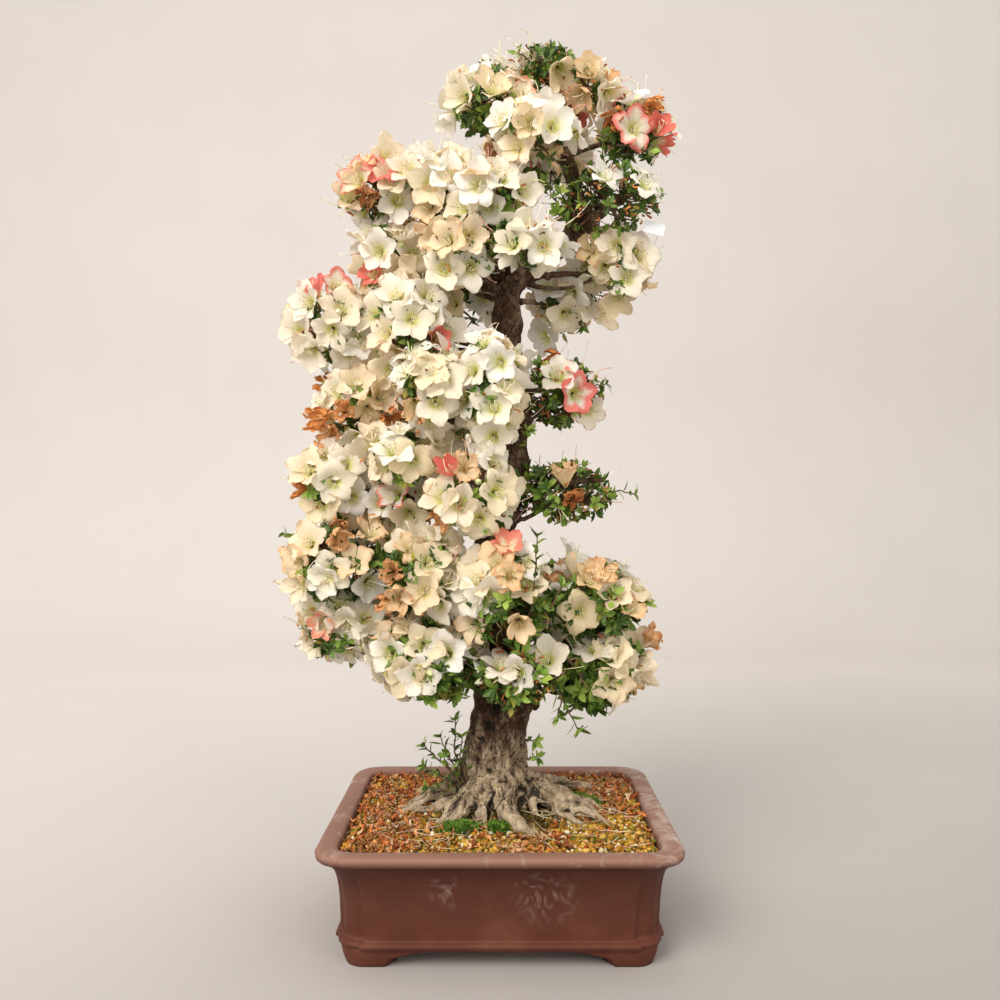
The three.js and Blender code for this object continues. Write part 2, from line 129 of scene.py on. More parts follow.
def add(tree, kind, inputs=None, stops=None, **settings):
    """Adds a node, sets its properties, and sets or links its inputs by name or number."""
    node = tree.nodes.new("ShaderNode" + kind)
    for name, value in settings.items():
        setattr(node, name, value)
    for name, value in (inputs or {}).items():
        if isinstance(value, bpy.types.Node):
            value = value.outputs[0]
        if isinstance(value, bpy.types.NodeSocket):
            tree.links.new(value, node.inputs[name])
        elif isinstance(value, str) and value.startswith("#"):
            node.inputs[name].default_value = linear(value)
        else:
            node.inputs[name].default_value = value
    if stops:
        elements = node.color_ramp.elements
        while len(elements) < len(stops):
            elements.new(0.5)
        for element, (position, colour) in zip(elements, stops):
            element.position = position
            element.color = linear(colour) if isinstance(colour, str) else (colour,) * 3 + (1.0,)
    return node


def ranged(tree, value, low, high, to_low, to_high):
    """A value carried from one range to another."""
    return add(tree, "MapRange", {0: value, 1: low, 2: high, 3: to_low, 4: to_high})


def worked(tree, operation, *values):
    """Arithmetic on values."""
    return add(tree, "Math", dict(enumerate(values)), operation=operation)


def ramp(tree, value, *stops):
    """A colour for a value, from stops of place and colour."""
    return add(tree, "ValToRGB", {0: value}, stops=stops)


def mixed(tree, share, first, second):
    """The first colour with a share of the second."""
    return add(tree, "MixRGB", {0: share, 1: first, 2: second})


def tinted(tree, first, second):
    """Two colours multiplied."""
    return add(tree, "MixRGB", {0: 1.0, 1: first, 2: second}, blend_type="MULTIPLY")


def cloudy(tree, where, scale, detail, roughness=0.5, distortion=0.0):
    """Cloudy noise."""
    return add(tree, "TexNoise", {"Vector": where, "Scale": scale, "Detail": detail,
                                  "Roughness": roughness, "Distortion": distortion})


def bumpy(tree, height, strength, distance, under=None):
    """A fine relief from a height, on top of another relief if one is given."""
    relief = add(tree, "Bump", {"Strength": strength, "Distance": distance, "Height": height})
    if under:
        tree.links.new(under.outputs[0], relief.inputs["Normal"])
    return relief


def carried(tree, layer):
    """The three values of a layer that a piece carries."""
    return add(tree, "SeparateColor", {0: add(tree, "Attribute", attribute_name=layer)}).outputs


def shaded(tree, colour, roughness, relief=None, specular=0.5, metallic=0.0):
    """The surface's shader."""
    inputs = {"Base Color": colour, "Roughness": roughness, "Specular IOR Level": specular,
              "Metallic": metallic}
    return add(tree, "BsdfPrincipled", {**inputs, "Normal": relief} if relief else inputs)


def start_material(name):
    """A new material, its node tree, emptied, and the place on the object in metres."""
    material = bpy.data.materials.new(name)
    material.use_nodes = True
    tree = material.node_tree
    tree.nodes.clear()
    return material, tree, add(tree, "TexCoord").outputs["Object"]


def finish(tree, shader):
    """Gives the material's surface its shader."""
    add(tree, "OutputMaterial", {0: shader})


def plain_material(name, scale, detail, tints, roughness, relief, grit=0.5, **more):
    """A material whose one noise varies its tint, its relief and perhaps its roughness; the tints are
    stops, or the range over which the noise dims the piece's own shade."""
    material, tree, where = start_material(name)
    grain = cloudy(tree, where, scale, detail, grit)
    if isinstance(tints[0], tuple):
        tint = ramp(tree, grain, *tints)
    else:
        own = add(tree, "Attribute", attribute_name="shade")
        tint = tinted(tree, own, ranged(tree, grain, *tints))
    if isinstance(roughness, tuple):
        roughness = ranged(tree, grain, 0.3, 0.7, *roughness)
    finish(tree, shaded(tree, tint, roughness, bumpy(tree, grain, *relief), **more))
    return material


def linked(name, data):
    """A new object in the scene."""
    made = bpy.data.objects.new(name, data)
    bpy.context.scene.collection.objects.link(made)
    return made


def make_piece(name, points, faces, material, replaced=(), layers=None, smooth=True):
    """A mesh piece from points in metres that rides on the pot's body, with colour layers per point."""
    mesh = bpy.data.meshes.new(name)
    mesh.from_pydata(np.asarray(points).tolist(), [], [list(face) for face in faces])
    mesh.polygons.foreach_set("use_smooth", [smooth] * len(mesh.polygons))
    for layer, values in (layers or {}).items():
        colours = np.ones((len(points), 4), np.float32)
        colours[:, :3] = values
        attribute = mesh.attributes.new(layer, "FLOAT_COLOR", "POINT")
        attribute.data.foreach_set("color", colours.ravel())
    mesh.materials.append(material)
    mesh.update()
    piece = linked(name, mesh)
    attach(piece, "root")
    if replaced:
        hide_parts(*replaced)


def skin_rings(rings, closed_ends=True):
    """Quads over rings of equally many points, with a fan at each end."""
    count = len(rings[0])
    points = np.concatenate(rings)
    side = np.arange(count)
    after = (side + 1) % count
    faces = []
    for level in range(len(rings) - 1):
        low, high = level * count, (level + 1) * count
        faces.extend(np.stack([low + side, low + after, high + after, high + side], 1).tolist())
    if closed_ends:
        first, last = len(points), len(points) + 1
        points = np.vstack([points, rings[0].mean(0), rings[-1].mean(0)])
        base = (len(rings) - 1) * count
        faces.extend([[first, b, a] for a, b in zip(side.tolist(), after.tolist())])
        faces.extend([[last, base + a, base + b] for a, b in zip(side.tolist(), after.tolist())])
    return points, faces


def pot_ring(inset, height, radius, notch, corner_steps=12, side_steps=14):
    """One level of the pot, inset from the lip's edge, its corners notched and then rounded."""
    angles = np.linspace(0, math.pi / 2, corner_steps)
    setback = notch + radius
    roll = np.linspace(0, 1, 5)[:-1]
    ease = (1 - np.cos(roll * math.pi)) / 2
    start_roll = np.stack([-notch * ease, -(radius + 2.2 * notch) + 1.2 * notch * roll], 1)
    arc = np.stack([radius * np.cos(angles) - setback, radius * np.sin(angles) - setback], 1)
    corner = np.vstack([start_roll, arc, start_roll[::-1, ::-1]])
    half = np.array([POT_HALF_WIDTH - inset, POT_HALF_DEPTH - inset])
    outline = []
    for sign in ((1, 1), (-1, 1), (-1, -1), (1, -1)):
        order = corner if sign[0] * sign[1] > 0 else corner[::-1]
        outline.append((half + order) * sign)
    ring = []
    for index, part in enumerate(outline):
        ring.append(part)
        following = outline[(index + 1) % 4][0]
        share = np.linspace(0, 1, side_steps + 1)[1:-1, None]
        ring.append(part[-1] + (following - part[-1]) * share)
    flat = np.vstack(ring)
    return np.column_stack([flat, np.full(len(flat), height)])


# inset, height, corner radius and notch, from the apron up the outside, over the lip, down to the floor
POT_PROFILE = [
    (24.5, 18.0, 20, 4), (22.5, 18.0, 20, 4), (21.4, 18.4, 20, 4), (21.0, 20.6, 20, 4), (19.2, 21.6, 21, 4),
    (18.2, 23.0, 21, 4), (18.0, 24.6, 21, 4), (18.6, 26.4, 21, 4), (20.4, 27.4, 20, 4), (22.2, 28.0, 20, 4),
    (22.6, 29.6, 20, 5), (22.2, 33.0, 20, 5), (21.8, 46.0, 20, 5), (21.2, 60.0, 20, 5), (20.2, 71.5, 20, 5),
    (18.4, 81.5, 21, 5), (15.8, 90.0, 22, 5), (12.4, 97.5, 23, 4.4), (8.6, 103.2, 24, 3.6),
    (5.6, 106.4, 25, 3), (3.6, 107.8, 26, 2.4), (1.6, 109.4, 26.5, 2), (0.4, 111.4, 27, 1.6),
    (0.0, 113.6, 27, 1.5), (0.4, 115.8, 27, 1.5), (1.6, 117.6, 26.5, 1.5), (3.6, 118.7, 26, 1.2),
    (6.0, 119.0, 25, 1), (12.0, 118.9, 21, 0.7), (18.0, 118.4, 18.5, 0.5), (20.2, 117.6, 17.5, 0.5),
    (21.4, 116.0, 17, 0.5), (22.6, 112.0, 16, 0.5), (26.6, 104.0, 15, 0.5), (30.0, 64.0, 14, 0.5),
    (33.0, 34.0, 13, 0.5), (37.0, 28.0, 11, 0.5),
]


def foot_sole(along):
    """How high the foot's underside is, a distance along the pot's side from the corner."""
    beyond = np.clip((along - FLAT_TO) / (FOOT_REACH - FLAT_TO), 0, 1)
    step = 6.5 * np.clip(beyond / 0.12, 0, 1) ** 0.6
    return np.where(beyond > 0, np.minimum(FOOT_TOP, step + SOLE_RISE * beyond ** 0.75), 0.0)


def pot_foot(sign_x, sign_y):
    """One bracket foot that wraps a corner of the apron and curves in towards the ground."""
    levels = np.linspace(1, 0, 9)
    stations = np.concatenate([np.linspace(-FOOT_REACH, -FOOT_BEND, 40), np.linspace(-25, 25, 21),
                               np.linspace(FOOT_BEND, FOOT_REACH, 40)])
    half = np.array([POT_HALF_WIDTH, POT_HALF_DEPTH])
    rings = []
    for station in stations:
        sole = float(foot_sole(abs(station)))
        section = []
        for level in levels:
            height = sole + (FOOT_ROOT - sole) * level
            lean = FOOT_LEAN * max(0.0, 1 - height / FOOT_TOP) ** 1.6
            section.append((FOOT_OUTER + lean, height))
        section += [(FOOT_INNER, sole), (FOOT_INNER, FOOT_ROOT)]
        ring = []
        for inset, height in section:
            corner_radius = max(2.0, FOOT_OUTER - (inset - FOOT_OUTER))
            reach = corner_radius * (math.pi / 4)
            if abs(station) <= reach:
                turn = math.pi / 4 + station / corner_radius
                local = np.array([math.cos(turn), math.sin(turn)]) * corner_radius - corner_radius
            else:
                past = abs(station) - reach
                local = np.array([0.0, -corner_radius - past])
                if station > 0:
                    local = local[::-1]
            spot = (half - inset + local) * (sign_x, sign_y)
            ring.append((spot[0], spot[1], height))
        ring = np.array(ring)
        rings.append(ring if sign_x * sign_y > 0 else ring[::-1])
    return skin_rings(rings)


def join(parts):
    """Several meshes' points and faces as one."""
    points, faces, start = [], [], 0
    for some_points, some_faces in parts:
        points.append(some_points)
        faces.extend([[index + start for index in face] for face in some_faces])
        start += len(some_points)
    return np.vstack(points), faces


def uneven(points, size, depth, seed):
    """A small unevenness for each point, from noise of a size in millimetres."""
    shift = Vector((seed * 7.1, seed * 3.3, seed * 5.7))
    return np.array([noise.noise(Vector(p) / size + shift) for p in points]) * depth


# Fired stoneware: matte and a little sandy, redder where it is rubbed, with pale lime bloom dried on
# the lip and faint wipe marks on the front; painted light makes the top of the lip lighter, and painted
# shade darkens the hollow under the lip.
clay, tree, where = start_material("stoneware_unglazed")
height = add(tree, "SeparateXYZ", {0: where})
cloud = cloudy(tree, where, 22.0, 5.0, 0.6)
grit = cloudy(tree, where, 900.0, 3.0, 0.7)
speck = add(tree, "TexVoronoi", {"Vector": where, "Scale": 420.0})
firing = ramp(tree, cloud, (0.25, "#512819"), (0.5, CLAY), (0.75, "#683B2B"))
# painted light: the lip's top is mixed towards a lighter clay, as if lit from above
up = ranged(tree, height.outputs[2], 0.108, 0.117, 0.0, 1.0)
# painted shade: the clay darkens from low on the body up into the hollow under the lip
shade = ranged(tree, height.outputs[2], 0.03, 0.108, 0.0, 0.55)
body_with_painted_shade = mixed(tree, shade, firing, CLAY_PAINTED_SHADE)
lip_with_painted_light = mixed(tree, up, body_with_painted_shade, CLAY_PAINTED_TOP_LIGHT)
bloom_noise = cloudy(tree, where, 34.0, 8.0, 0.72, 0.9)
right_end = ranged(tree, height, POT_X + 0.10, POT_X + 0.175, 0.56, 0.44)
bloom_edge = worked(tree, "SUBTRACT", bloom_noise, right_end)
bloom_soft = ranged(tree, bloom_edge, 0.0, 0.22, 0.0, 0.8)
bloom = worked(tree, "MULTIPLY", bloom_soft, up)
limed = mixed(tree, bloom, lip_with_painted_light, LIME_BLOOM)
wipe_noise = cloudy(tree, where, 30.0, 7.0, distortion=4.0)
wipe_mark = ranged(tree, wipe_noise, 0.5, 0.72, 0.0, 0.36)
wiped = limed
for middle, reach in (((-0.052, -0.13, 0.082), 0.018), ((0.045, -0.13, 0.076), 0.03)):
    away = add(tree, "VectorMath", {0: where, 1: (POT_X + middle[0], middle[1], middle[2])},
               operation="DISTANCE").outputs["Value"]
    near = ranged(tree, away, reach * 0.1, reach * 1.3, 1.0, 0.0)
    wipe = worked(tree, "MULTIPLY", wipe_mark, near)
    wiped = mixed(tree, wipe, wiped, "#B79F93")
spots = ranged(tree, speck.outputs["Distance"], 0.06, 0.2, 0.55, 0.0)
spot_colour = mixed(tree, spots, wiped, "#4C2A21")
roughness = ranged(tree, grit, 0.3, 0.7, 0.56, 0.74)
relief = bumpy(tree, grit, 0.35, 0.0006)
wavy = bumpy(tree, cloud, 0.3, 0.002, relief)
finish(tree, shaded(tree, spot_colour, roughness, wavy, specular=0.3))


def raw_object(name, points, faces):
    """A plain object from points in millimetres, for cutting and joining."""
    mesh = bpy.data.meshes.new(name)
    mesh.from_pydata(place(points).tolist(), [], faces)
    return linked(name, mesh)


def modified(maker):
    """The mesh that an object's modifiers make; the object itself is removed."""
    made = bpy.data.meshes.new_from_object(maker.evaluated_get(bpy.context.evaluated_depsgraph_get()))
    bpy.data.objects.remove(maker)
    return made


def mesh_data(mesh):
    """A mesh's points, in millimetres from the pot's middle, and its faces."""
    points = np.array([v.co[:] for v in mesh.vertices]) / MM - [POT_X / MM, POT_Y / MM, 0]
    return points, [list(face.vertices) for face in mesh.polygons]


def circle(x, y, reach_x, reach_y, count):
    """Points round a middle, at the height of the floor."""
    turn = np.linspace(0, 2 * math.pi, count + 1)[:-1]
    return np.column_stack([x + reach_x * np.cos(turn), y + reach_y * np.sin(turn), np.zeros(count)])


# the drainage holes are drilled through the shell's floor, one under each screen, before it gets feet
shell = raw_object("shell", *skin_rings([pot_ring(*level) for level in POT_PROFILE]))
for x in (-DRAIN_X, DRAIN_X):
    hole = circle(x, 0, DRAIN_RADIUS, DRAIN_RADIUS, 32)
    drill = raw_object("drill", *skin_rings([hole + [0, 0, DRILL_FROM], hole + [0, 0, DRILL_TO]]))
    cut = shell.modifiers.new("drain_hole", "BOOLEAN")
    cut.object = drill
    cut.solver = "EXACT"
pot_parts = [mesh_data(modified(shell))]
for drill in [item for item in bpy.data.objects if item.name.startswith("drill")]:
    bpy.data.objects.remove(drill)
pot_parts += [pot_foot(x, y) for x in (-1, 1) for y in (-1, 1)]
pot_points, pot_faces = join(pot_parts)
away = pot_points * [1, 1, 0]
away /= np.maximum(np.linalg.norm(away, axis=1, keepdims=True), 1)
swell = uneven(pot_points, 60, 0.5, 1) * (pot_points[:, 2] > 1)
pot_points = pot_points + away * swell[:, None]
pot_points[:, 2] = np.maximum(pot_points[:, 2], 0)
make_piece("clay_pot", place(pot_points), pot_faces, clay, ["pot"])


# Drain screens and clips: a square of moulded plastic mesh over each drainage hole, held down by a
# staple of soft aluminium wire whose ends are splayed under the pot's floor.

# Moulded plastic: dark green-black and dull, slightly dusty from the soil.
mesh_plastic = plain_material("polyethylene_mesh_moulded", 300.0, 4.0,
                              ((0.35, "#18221B"), (0.7, "#3A3F33")), 0.6, (0.2, 0.0003))

# Anodised aluminium wire, copper-coloured: satin, and duller in patches.
clip_metal = plain_material("aluminium_wire_anodised", 500.0, 3.0,
                            ((0.3, "#8A6A52"), (0.7, "#B08A6C")), (0.32, 0.55), (0.15, 0.0001),
                            metallic=1.0)


def coat(node, material):
    """Gives a piece that keeps its CAD shape its material."""
    materials = frame["nodes"][node].data.materials
    materials.clear()
    materials.append(material)


for side in ("left", "right"):
    coat("drain_screen_" + side, mesh_plastic)
    coat("screen_clip_" + side, clip_metal)


# Soil: a bed of sifted volcanic granules, ochre when moist, with a few cream and rust-coloured ones,
# heaped a little higher at the trunk.

SOIL_EDGE = 111.5
SOIL_MOUND = 14.0
SOIL_HALF = (POT_HALF_WIDTH - 25.5, POT_HALF_DEPTH - 25.5)
SOIL_CORNER = 15.0
GRAIN_COUNT = 7600
GRAIN_COLOURS = ["#C08E28", "#D3A440", "#AE7C20", "#DDB65A", "#8E6A1E", "#B98A2A", "#A4601F", "#B5561E",
                 "#E9DCA8", "#F3ECCB", "#7C7420", "#5E5A1E", "#96882C"]
GRAIN_SHARES = [0.16, 0.13, 0.12, 0.1, 0.08, 0.08, 0.05, 0.03, 0.05, 0.05, 0.06, 0.04, 0.05]


def soil_height(x, y):
    """The soil's surface, without its grains."""
    return SOIL_EDGE + SOIL_MOUND * np.exp(-((x / 78) ** 2) - ((y - 8) / 62) ** 2)


def on_soil(x, y, margin=0.0):
    """True inside the lip's inner edge."""
    across = np.maximum(np.abs(x) - (SOIL_HALF[0] - SOIL_CORNER - margin), 0)
    deep = np.maximum(np.abs(y) - (SOIL_HALF[1] - SOIL_CORNER - margin), 0)
    return np.hypot(across, deep) < SOIL_CORNER


def turns(count, rng):
    """Random rotation matrices."""
    quaternions = rng.normal(size=(count, 4))
    quaternions /= np.linalg.norm(quaternions, axis=1, keepdims=True)
    w, x, y, z = quaternions.T
    return np.stack([
        np.stack([1 - 2 * (y * y + z * z), 2 * (x * y - z * w), 2 * (x * z + y * w)], 1),
        np.stack([2 * (x * y + z * w), 1 - 2 * (x * x + z * z), 2 * (y * z - x * w)], 1),
        np.stack([2 * (x * z - y * w), 2 * (y * z + x * w), 1 - 2 * (x * x + y * y)], 1)], 1)


def scattered(templates, choice, matrices, spots):
    """Copies of template meshes, each turned and scaled by its matrix and moved to its spot."""
    points, faces, owner, start = [], [], [], 0
    for index, (shape, shape_faces) in enumerate(templates):
        mine = np.flatnonzero(choice == index)
        if not len(mine):
            continue
        copies = np.einsum("nij,pj->npi", matrices[mine], shape) + spots[mine][:, None, :]
        points.append(copies.reshape(-1, 3))
        offsets = start + np.arange(len(mine))[:, None, None] * len(shape)
        faces.append((np.asarray(shape_faces)[None] + offsets).reshape(-1, len(shape_faces[0])))
        owner.append(np.repeat(mine, len(shape)))
        start += len(mine) * len(shape)
    return np.vstack(points), np.vstack(faces), np.concatenate(owner)


def lump(rng, roughness):
    """An irregular pebble of 24 quads about 1 across."""
    bm = bmesh.new()
    bmesh.ops.create_cube(bm, size=1.0)
    bmesh.ops.subdivide_edges(bm, edges=bm.edges[:], cuts=1, use_grid_fill=True)
    points = np.array([v.co[:] for v in bm.verts])
    faces = [[v.index for v in face.verts] for face in bm.faces]
    bm.free()
    points /= np.linalg.norm(points, axis=1, keepdims=True) ** 0.8
    points *= 0.5 * (1 + rng.uniform(-roughness, roughness, (len(points), 1)))
    return points, faces


# Volcanic granules: porous and dull, each its own shade, darker in the pits.
granule = plain_material("volcanic_granules_sifted", 1300.0, 3.0, (0.3, 0.65, 0.62, 1.12), 0.88,
                         (0.7, 0.0006), grit=0.7, specular=0.3)

# Fine soil between the granules: dark, damp and rough.
fines = plain_material("soil_fines_damp", 260.0, 6.0,
                       ((0.3, "#2A1B0C"), (0.5, "#5A3E17"), (0.7, "#8A6420")), 0.95, (0.9, 0.002),
                       grit=0.7)

bed_rings = [pot_ring(inset, level, radius, 0.5) for inset, level, radius in
             ((38.5, 28.6, 11), (34.5, 35.0, 12), (28.0, 102.0, 14), (26.0, 109.5, 15))]
for share in np.linspace(0.985, 0.03, 34):
    ring = bed_rings[3] * [share, share, 0]
    ring[:, 2] = soil_height(*ring.T[:2]) - 1.6
    bed_rings.append(ring)
bed_points, bed_faces = skin_rings(bed_rings)
bed_points[:, 2] += uneven(bed_points, 5, 1.6, 2) * (bed_points[:, 2] > 106)
make_piece("soil_bed", place(bed_points), bed_faces, fines, ["soil"])

rng = np.random.default_rng(11)
spots = rng.uniform(-1, 1, (GRAIN_COUNT * 2, 2)) * SOIL_HALF
spots = spots[on_soil(*spots.T)][:GRAIN_COUNT]
count = len(spots)
size = rng.gamma(5.0, 0.86, count).clip(2.2, 7.6)
level = soil_height(*spots.T[:2]) - 0.4 + rng.uniform(-0.9, 1.3, count)
matrices = turns(count, rng) * (size[:, None] * rng.uniform(0.62, 1.25, (count, 3)))[:, None, :]
templates = [lump(rng, 0.17) for _ in range(6)]
grain_points, grain_faces, owner = scattered(
    templates, rng.integers(0, len(templates), count), matrices, np.column_stack([spots, level]))
shades = rgb(GRAIN_COLOURS)[rng.choice(len(GRAIN_COLOURS), count, p=GRAIN_SHARES)]
shades = shades * rng.uniform(0.8, 1.15, (count, 1))
# painted shade: between and under the roots the granules darken towards a deep olive
root_painted_shade = np.exp(-((spots[:, 0] - 2) / 98) ** 2 - ((spots[:, 1] + 32) / 48) ** 2)
root_painted_shade = root_painted_shade + uneven(np.column_stack([spots, level]), 14, 0.3, 4)
root_painted_shade = np.clip(root_painted_shade * 2.0 - 0.7, 0, 0.88)[:, None]
shades = shades * (1 - root_painted_shade) + linear("#2A2A12")[:3] * root_painted_shade
make_piece("soil_granules", place(grain_points), grain_faces, granule,
           layers={"shade": shades[owner]})


# Litter on the soil: petals that have dropped and dried to curled orange-brown shreds, thickest at the
# left and along the back, and the thin straw-coloured pistils that fell with them.

LITTER_COUNT = 1350
LITTER_COLOURS = ["#A8582A", "#C46C30", "#D88440", "#E39C5C", "#8A4A20", "#C98A50", "#DDB68A", "#9C6A34"]
PISTIL_COUNT = 230
PISTIL_COLOURS = ["#D8C79C", "#C9A77A", "#E4D2B6", "#D9A08A"]


def tubes(paths, radii, sides=4):
    """Thin round stems along many paths, as one mesh; paths is stems x steps x 3."""
    paths = np.asarray(paths, float)
    stems, steps = paths.shape[:2]
    radii = np.broadcast_to(radii, (stems, steps))
    along = np.gradient(paths, axis=1)
    along /= np.linalg.norm(along, axis=2, keepdims=True) + 1e-9
    whole = paths[:, -1] - paths[:, 0]
    aside = np.where(np.abs(whole[:, 2:3]) > 0.7 * np.linalg.norm(whole, axis=1, keepdims=True),
                     [[1.0, 0.0, 0.0]], [[0.0, 0.0, 1.0]])
    across = np.cross(along, aside[:, None, :])
    across /= np.linalg.norm(across, axis=2, keepdims=True) + 1e-9
    upward = np.cross(across, along)
    angles = np.arange(sides) * 2 * math.pi / sides
    ring = across[:, :, None] * np.cos(angles)[:, None] + upward[:, :, None] * np.sin(angles)[:, None]
    points = paths[:, :, None] + ring * radii[:, :, None, None]
    index = np.arange(stems * steps * sides).reshape(stems, steps, sides)
    after = np.roll(index, -1, axis=2)
    quads = np.stack([index[:, :-1], after[:, :-1], after[:, 1:], index[:, 1:]], -1).reshape(-1, 4)
    ends = np.concatenate([index[:, 0, ::-1], index[:, -1]])
    faces = quads.tolist() + ends.tolist()
    return points.reshape(-1, 3), faces, np.repeat(np.arange(stems), steps * sides)


def shred(rng):
    """A dry curled petal about 1 long."""
    across, along = np.meshgrid(np.linspace(-1, 1, 4), np.linspace(-1, 1, 7))
    width = 0.13 * np.sqrt(np.clip(1.05 - along ** 2, 0.04, 1)) * rng.uniform(0.7, 1.3)
    curl = rng.uniform(0.5, 2.2)
    angle = along * curl
    x = across * width + 0.12 * np.sin(along * rng.uniform(1, 4) + rng.uniform(0, 6))
    y = np.sin(angle) / curl * 0.5
    z = (1 - np.cos(angle)) / curl * 0.5 + 0.1 * across ** 2 * rng.uniform(0.3, 2)
    z += 0.05 * np.sin(across * 5 + along * 6 + rng.uniform(0, 6))
    return np.stack([x, y, z], -1).reshape(-1, 3), grid_faces(7, 4)


def grid_faces(rows, columns):
    """Quads of a grid of points stored row by row."""
    index = np.arange(rows * columns).reshape(rows, columns)
    return np.stack([index[:-1, :-1], index[:-1, 1:], index[1:, 1:], index[1:, :-1]], -1).reshape(-1, 4)


# Dried petal: papery and creased, each shred its own orange or brown.
dry_petal = plain_material("petal_dried", 700.0, 3.0, (0.3, 0.7, 0.65, 1.15), 0.75, (0.6, 0.0005))

rng = np.random.default_rng(23)
spots = rng.uniform(-1, 1, (LITTER_COUNT * 6, 2)) * SOIL_HALF
spots = spots[on_soil(*spots.T)]
x, y = spots.T
thickness = (0.8 * np.clip((-70 - x) / 30, 0, 1) + 0.75 * np.clip((y - 10) / 25, 0, 1)
             + 0.3 * ((x > 70) & (y > -30)) + 0.45 * ((np.abs(x - 20) < 50) & (y < -84)) + 0.1)
between_roots = (np.abs(x - 2) < 72) & (y > -72)
thickness = np.where(between_roots, 0.5 * thickness, thickness)
spots = spots[rng.uniform(0, 1, len(spots)) < thickness][:LITTER_COUNT]
count = len(spots)
turn = rng.uniform(0, 2 * math.pi, count)
tilt = rng.normal(0, 0.45, (count, 2))
matrices = np.array([
    Matrix.Rotation(a, 3, "Z") @ Matrix.Rotation(b, 3, "X") @ Matrix.Rotation(c, 3, "Y")
    for a, b, c in zip(turn, tilt[:, 0], tilt[:, 1])])
matrices = matrices * rng.uniform(6, 16, (count, 1, 1))
level = soil_height(*spots.T[:2]) + rng.uniform(1.6, 3.6, count)
templates = [shred(rng) for _ in range(12)]
litter_points, litter_faces, owner = scattered(
    templates, rng.integers(0, len(templates), count), matrices, np.column_stack([spots, level]))
shades = rgb(LITTER_COLOURS)[rng.integers(0, len(LITTER_COLOURS), count)]
make_piece("fallen_petals", place(litter_points), litter_faces, dry_petal,
           layers={"shade": shades[owner]})

spots = rng.uniform(-1, 1, (PISTIL_COUNT * 2, 2)) * [SOIL_HALF[0] - 12, SOIL_HALF[1] - 12]
spots = spots[on_soil(*spots.T, -8)][:PISTIL_COUNT]
count = len(spots)
turn = rng.uniform(0, 2 * math.pi, count)[:, None]
reach = np.linspace(-0.5, 0.5, 6)[None, :] * rng.uniform(18, 36, (count, 1))
bow = rng.uniform(-0.016, 0.016, (count, 1)) * (reach ** 2 - 120)
x = spots[:, :1] + np.cos(turn) * reach - np.sin(turn) * bow
y = spots[:, 1:] + np.sin(turn) * reach + np.cos(turn) * bow
x = np.clip(x, -SOIL_HALF[0] + 2, SOIL_HALF[0] - 2)
y = np.clip(y, -SOIL_HALF[1] + 2, SOIL_HALF[1] - 2)
paths = np.stack([x, y, soil_height(x, y) + 3.2 + rng.uniform(0, 2.2, (count, 1)) * np.abs(reach) / 12], -1)
pistil_points, pistil_faces, owner = tubes(paths, np.linspace(0.34, 0.5, 6), 4)
shades = rgb(PISTIL_COLOURS)[rng.integers(0, len(PISTIL_COLOURS), count)]
make_piece("fallen_pistils", place(pistil_points), pistil_faces, dry_petal,
           layers={"shade": shades[owner]})


# Moss: three low cushions growing on the damp soil between the roots, each of hundreds of tiny leafy
# stems, bright at the tips.

MOSS = {"moss_front_left": ((-42, -62), (22, 13), 7), "moss_front_middle": ((0, -64), (15, 10), 6),
        "moss_right": ((86, 22), (32, 17), 7)}
MOSS_COLOURS = ["#4F7420", "#6B9528", "#3F6018", "#84A838"]
MOSS_BASE_AND_PAINTED_SHADE = "#2C4212"

# Moss leaf: thin and moist, yellow-green where new and deep green underneath, where the dark mound under
# the tufts is partly painted shade.
moss_leaf = plain_material("moss_living", 240.0, 4.0, (0.3, 0.7, 0.6, 1.25), 0.7, (0.5, 0.0008))


def tuft(rng):
    """A moss stem's head: seven pointed leaflets, about 1 tall."""
    points, faces = [], []
    for leaflet in range(7):
        turn = leaflet * 2.4 + rng.uniform(-0.3, 0.3)
        lean = rng.uniform(0.15, 1.0)
        out = np.array([math.cos(turn) * math.sin(lean), math.sin(turn) * math.sin(lean), math.cos(lean)])
        wide = np.array([-math.sin(turn), math.cos(turn), 0]) * 0.13
        start = len(points)
        points += [out * 0.05 - wide, out * 0.05 + wide, out * 0.6 + wide * 1.2, out,
                   out * 0.6 - wide * 1.2]
        faces += [[start, start + 1, start + 2, start + 4], [start + 4, start + 2, start + 3, start + 3]]
    return np.array(points), [face if face[2] != face[3] else face[:3] for face in faces]


def split(points, faces):
    """The same mesh with every quad as two triangles, so that all faces have three sides."""
    threes = []
    for face in faces:
        threes.append([face[0], face[1], face[2]])
        if len(face) == 4:
            threes.append([face[0], face[2], face[3]])
    return points, threes


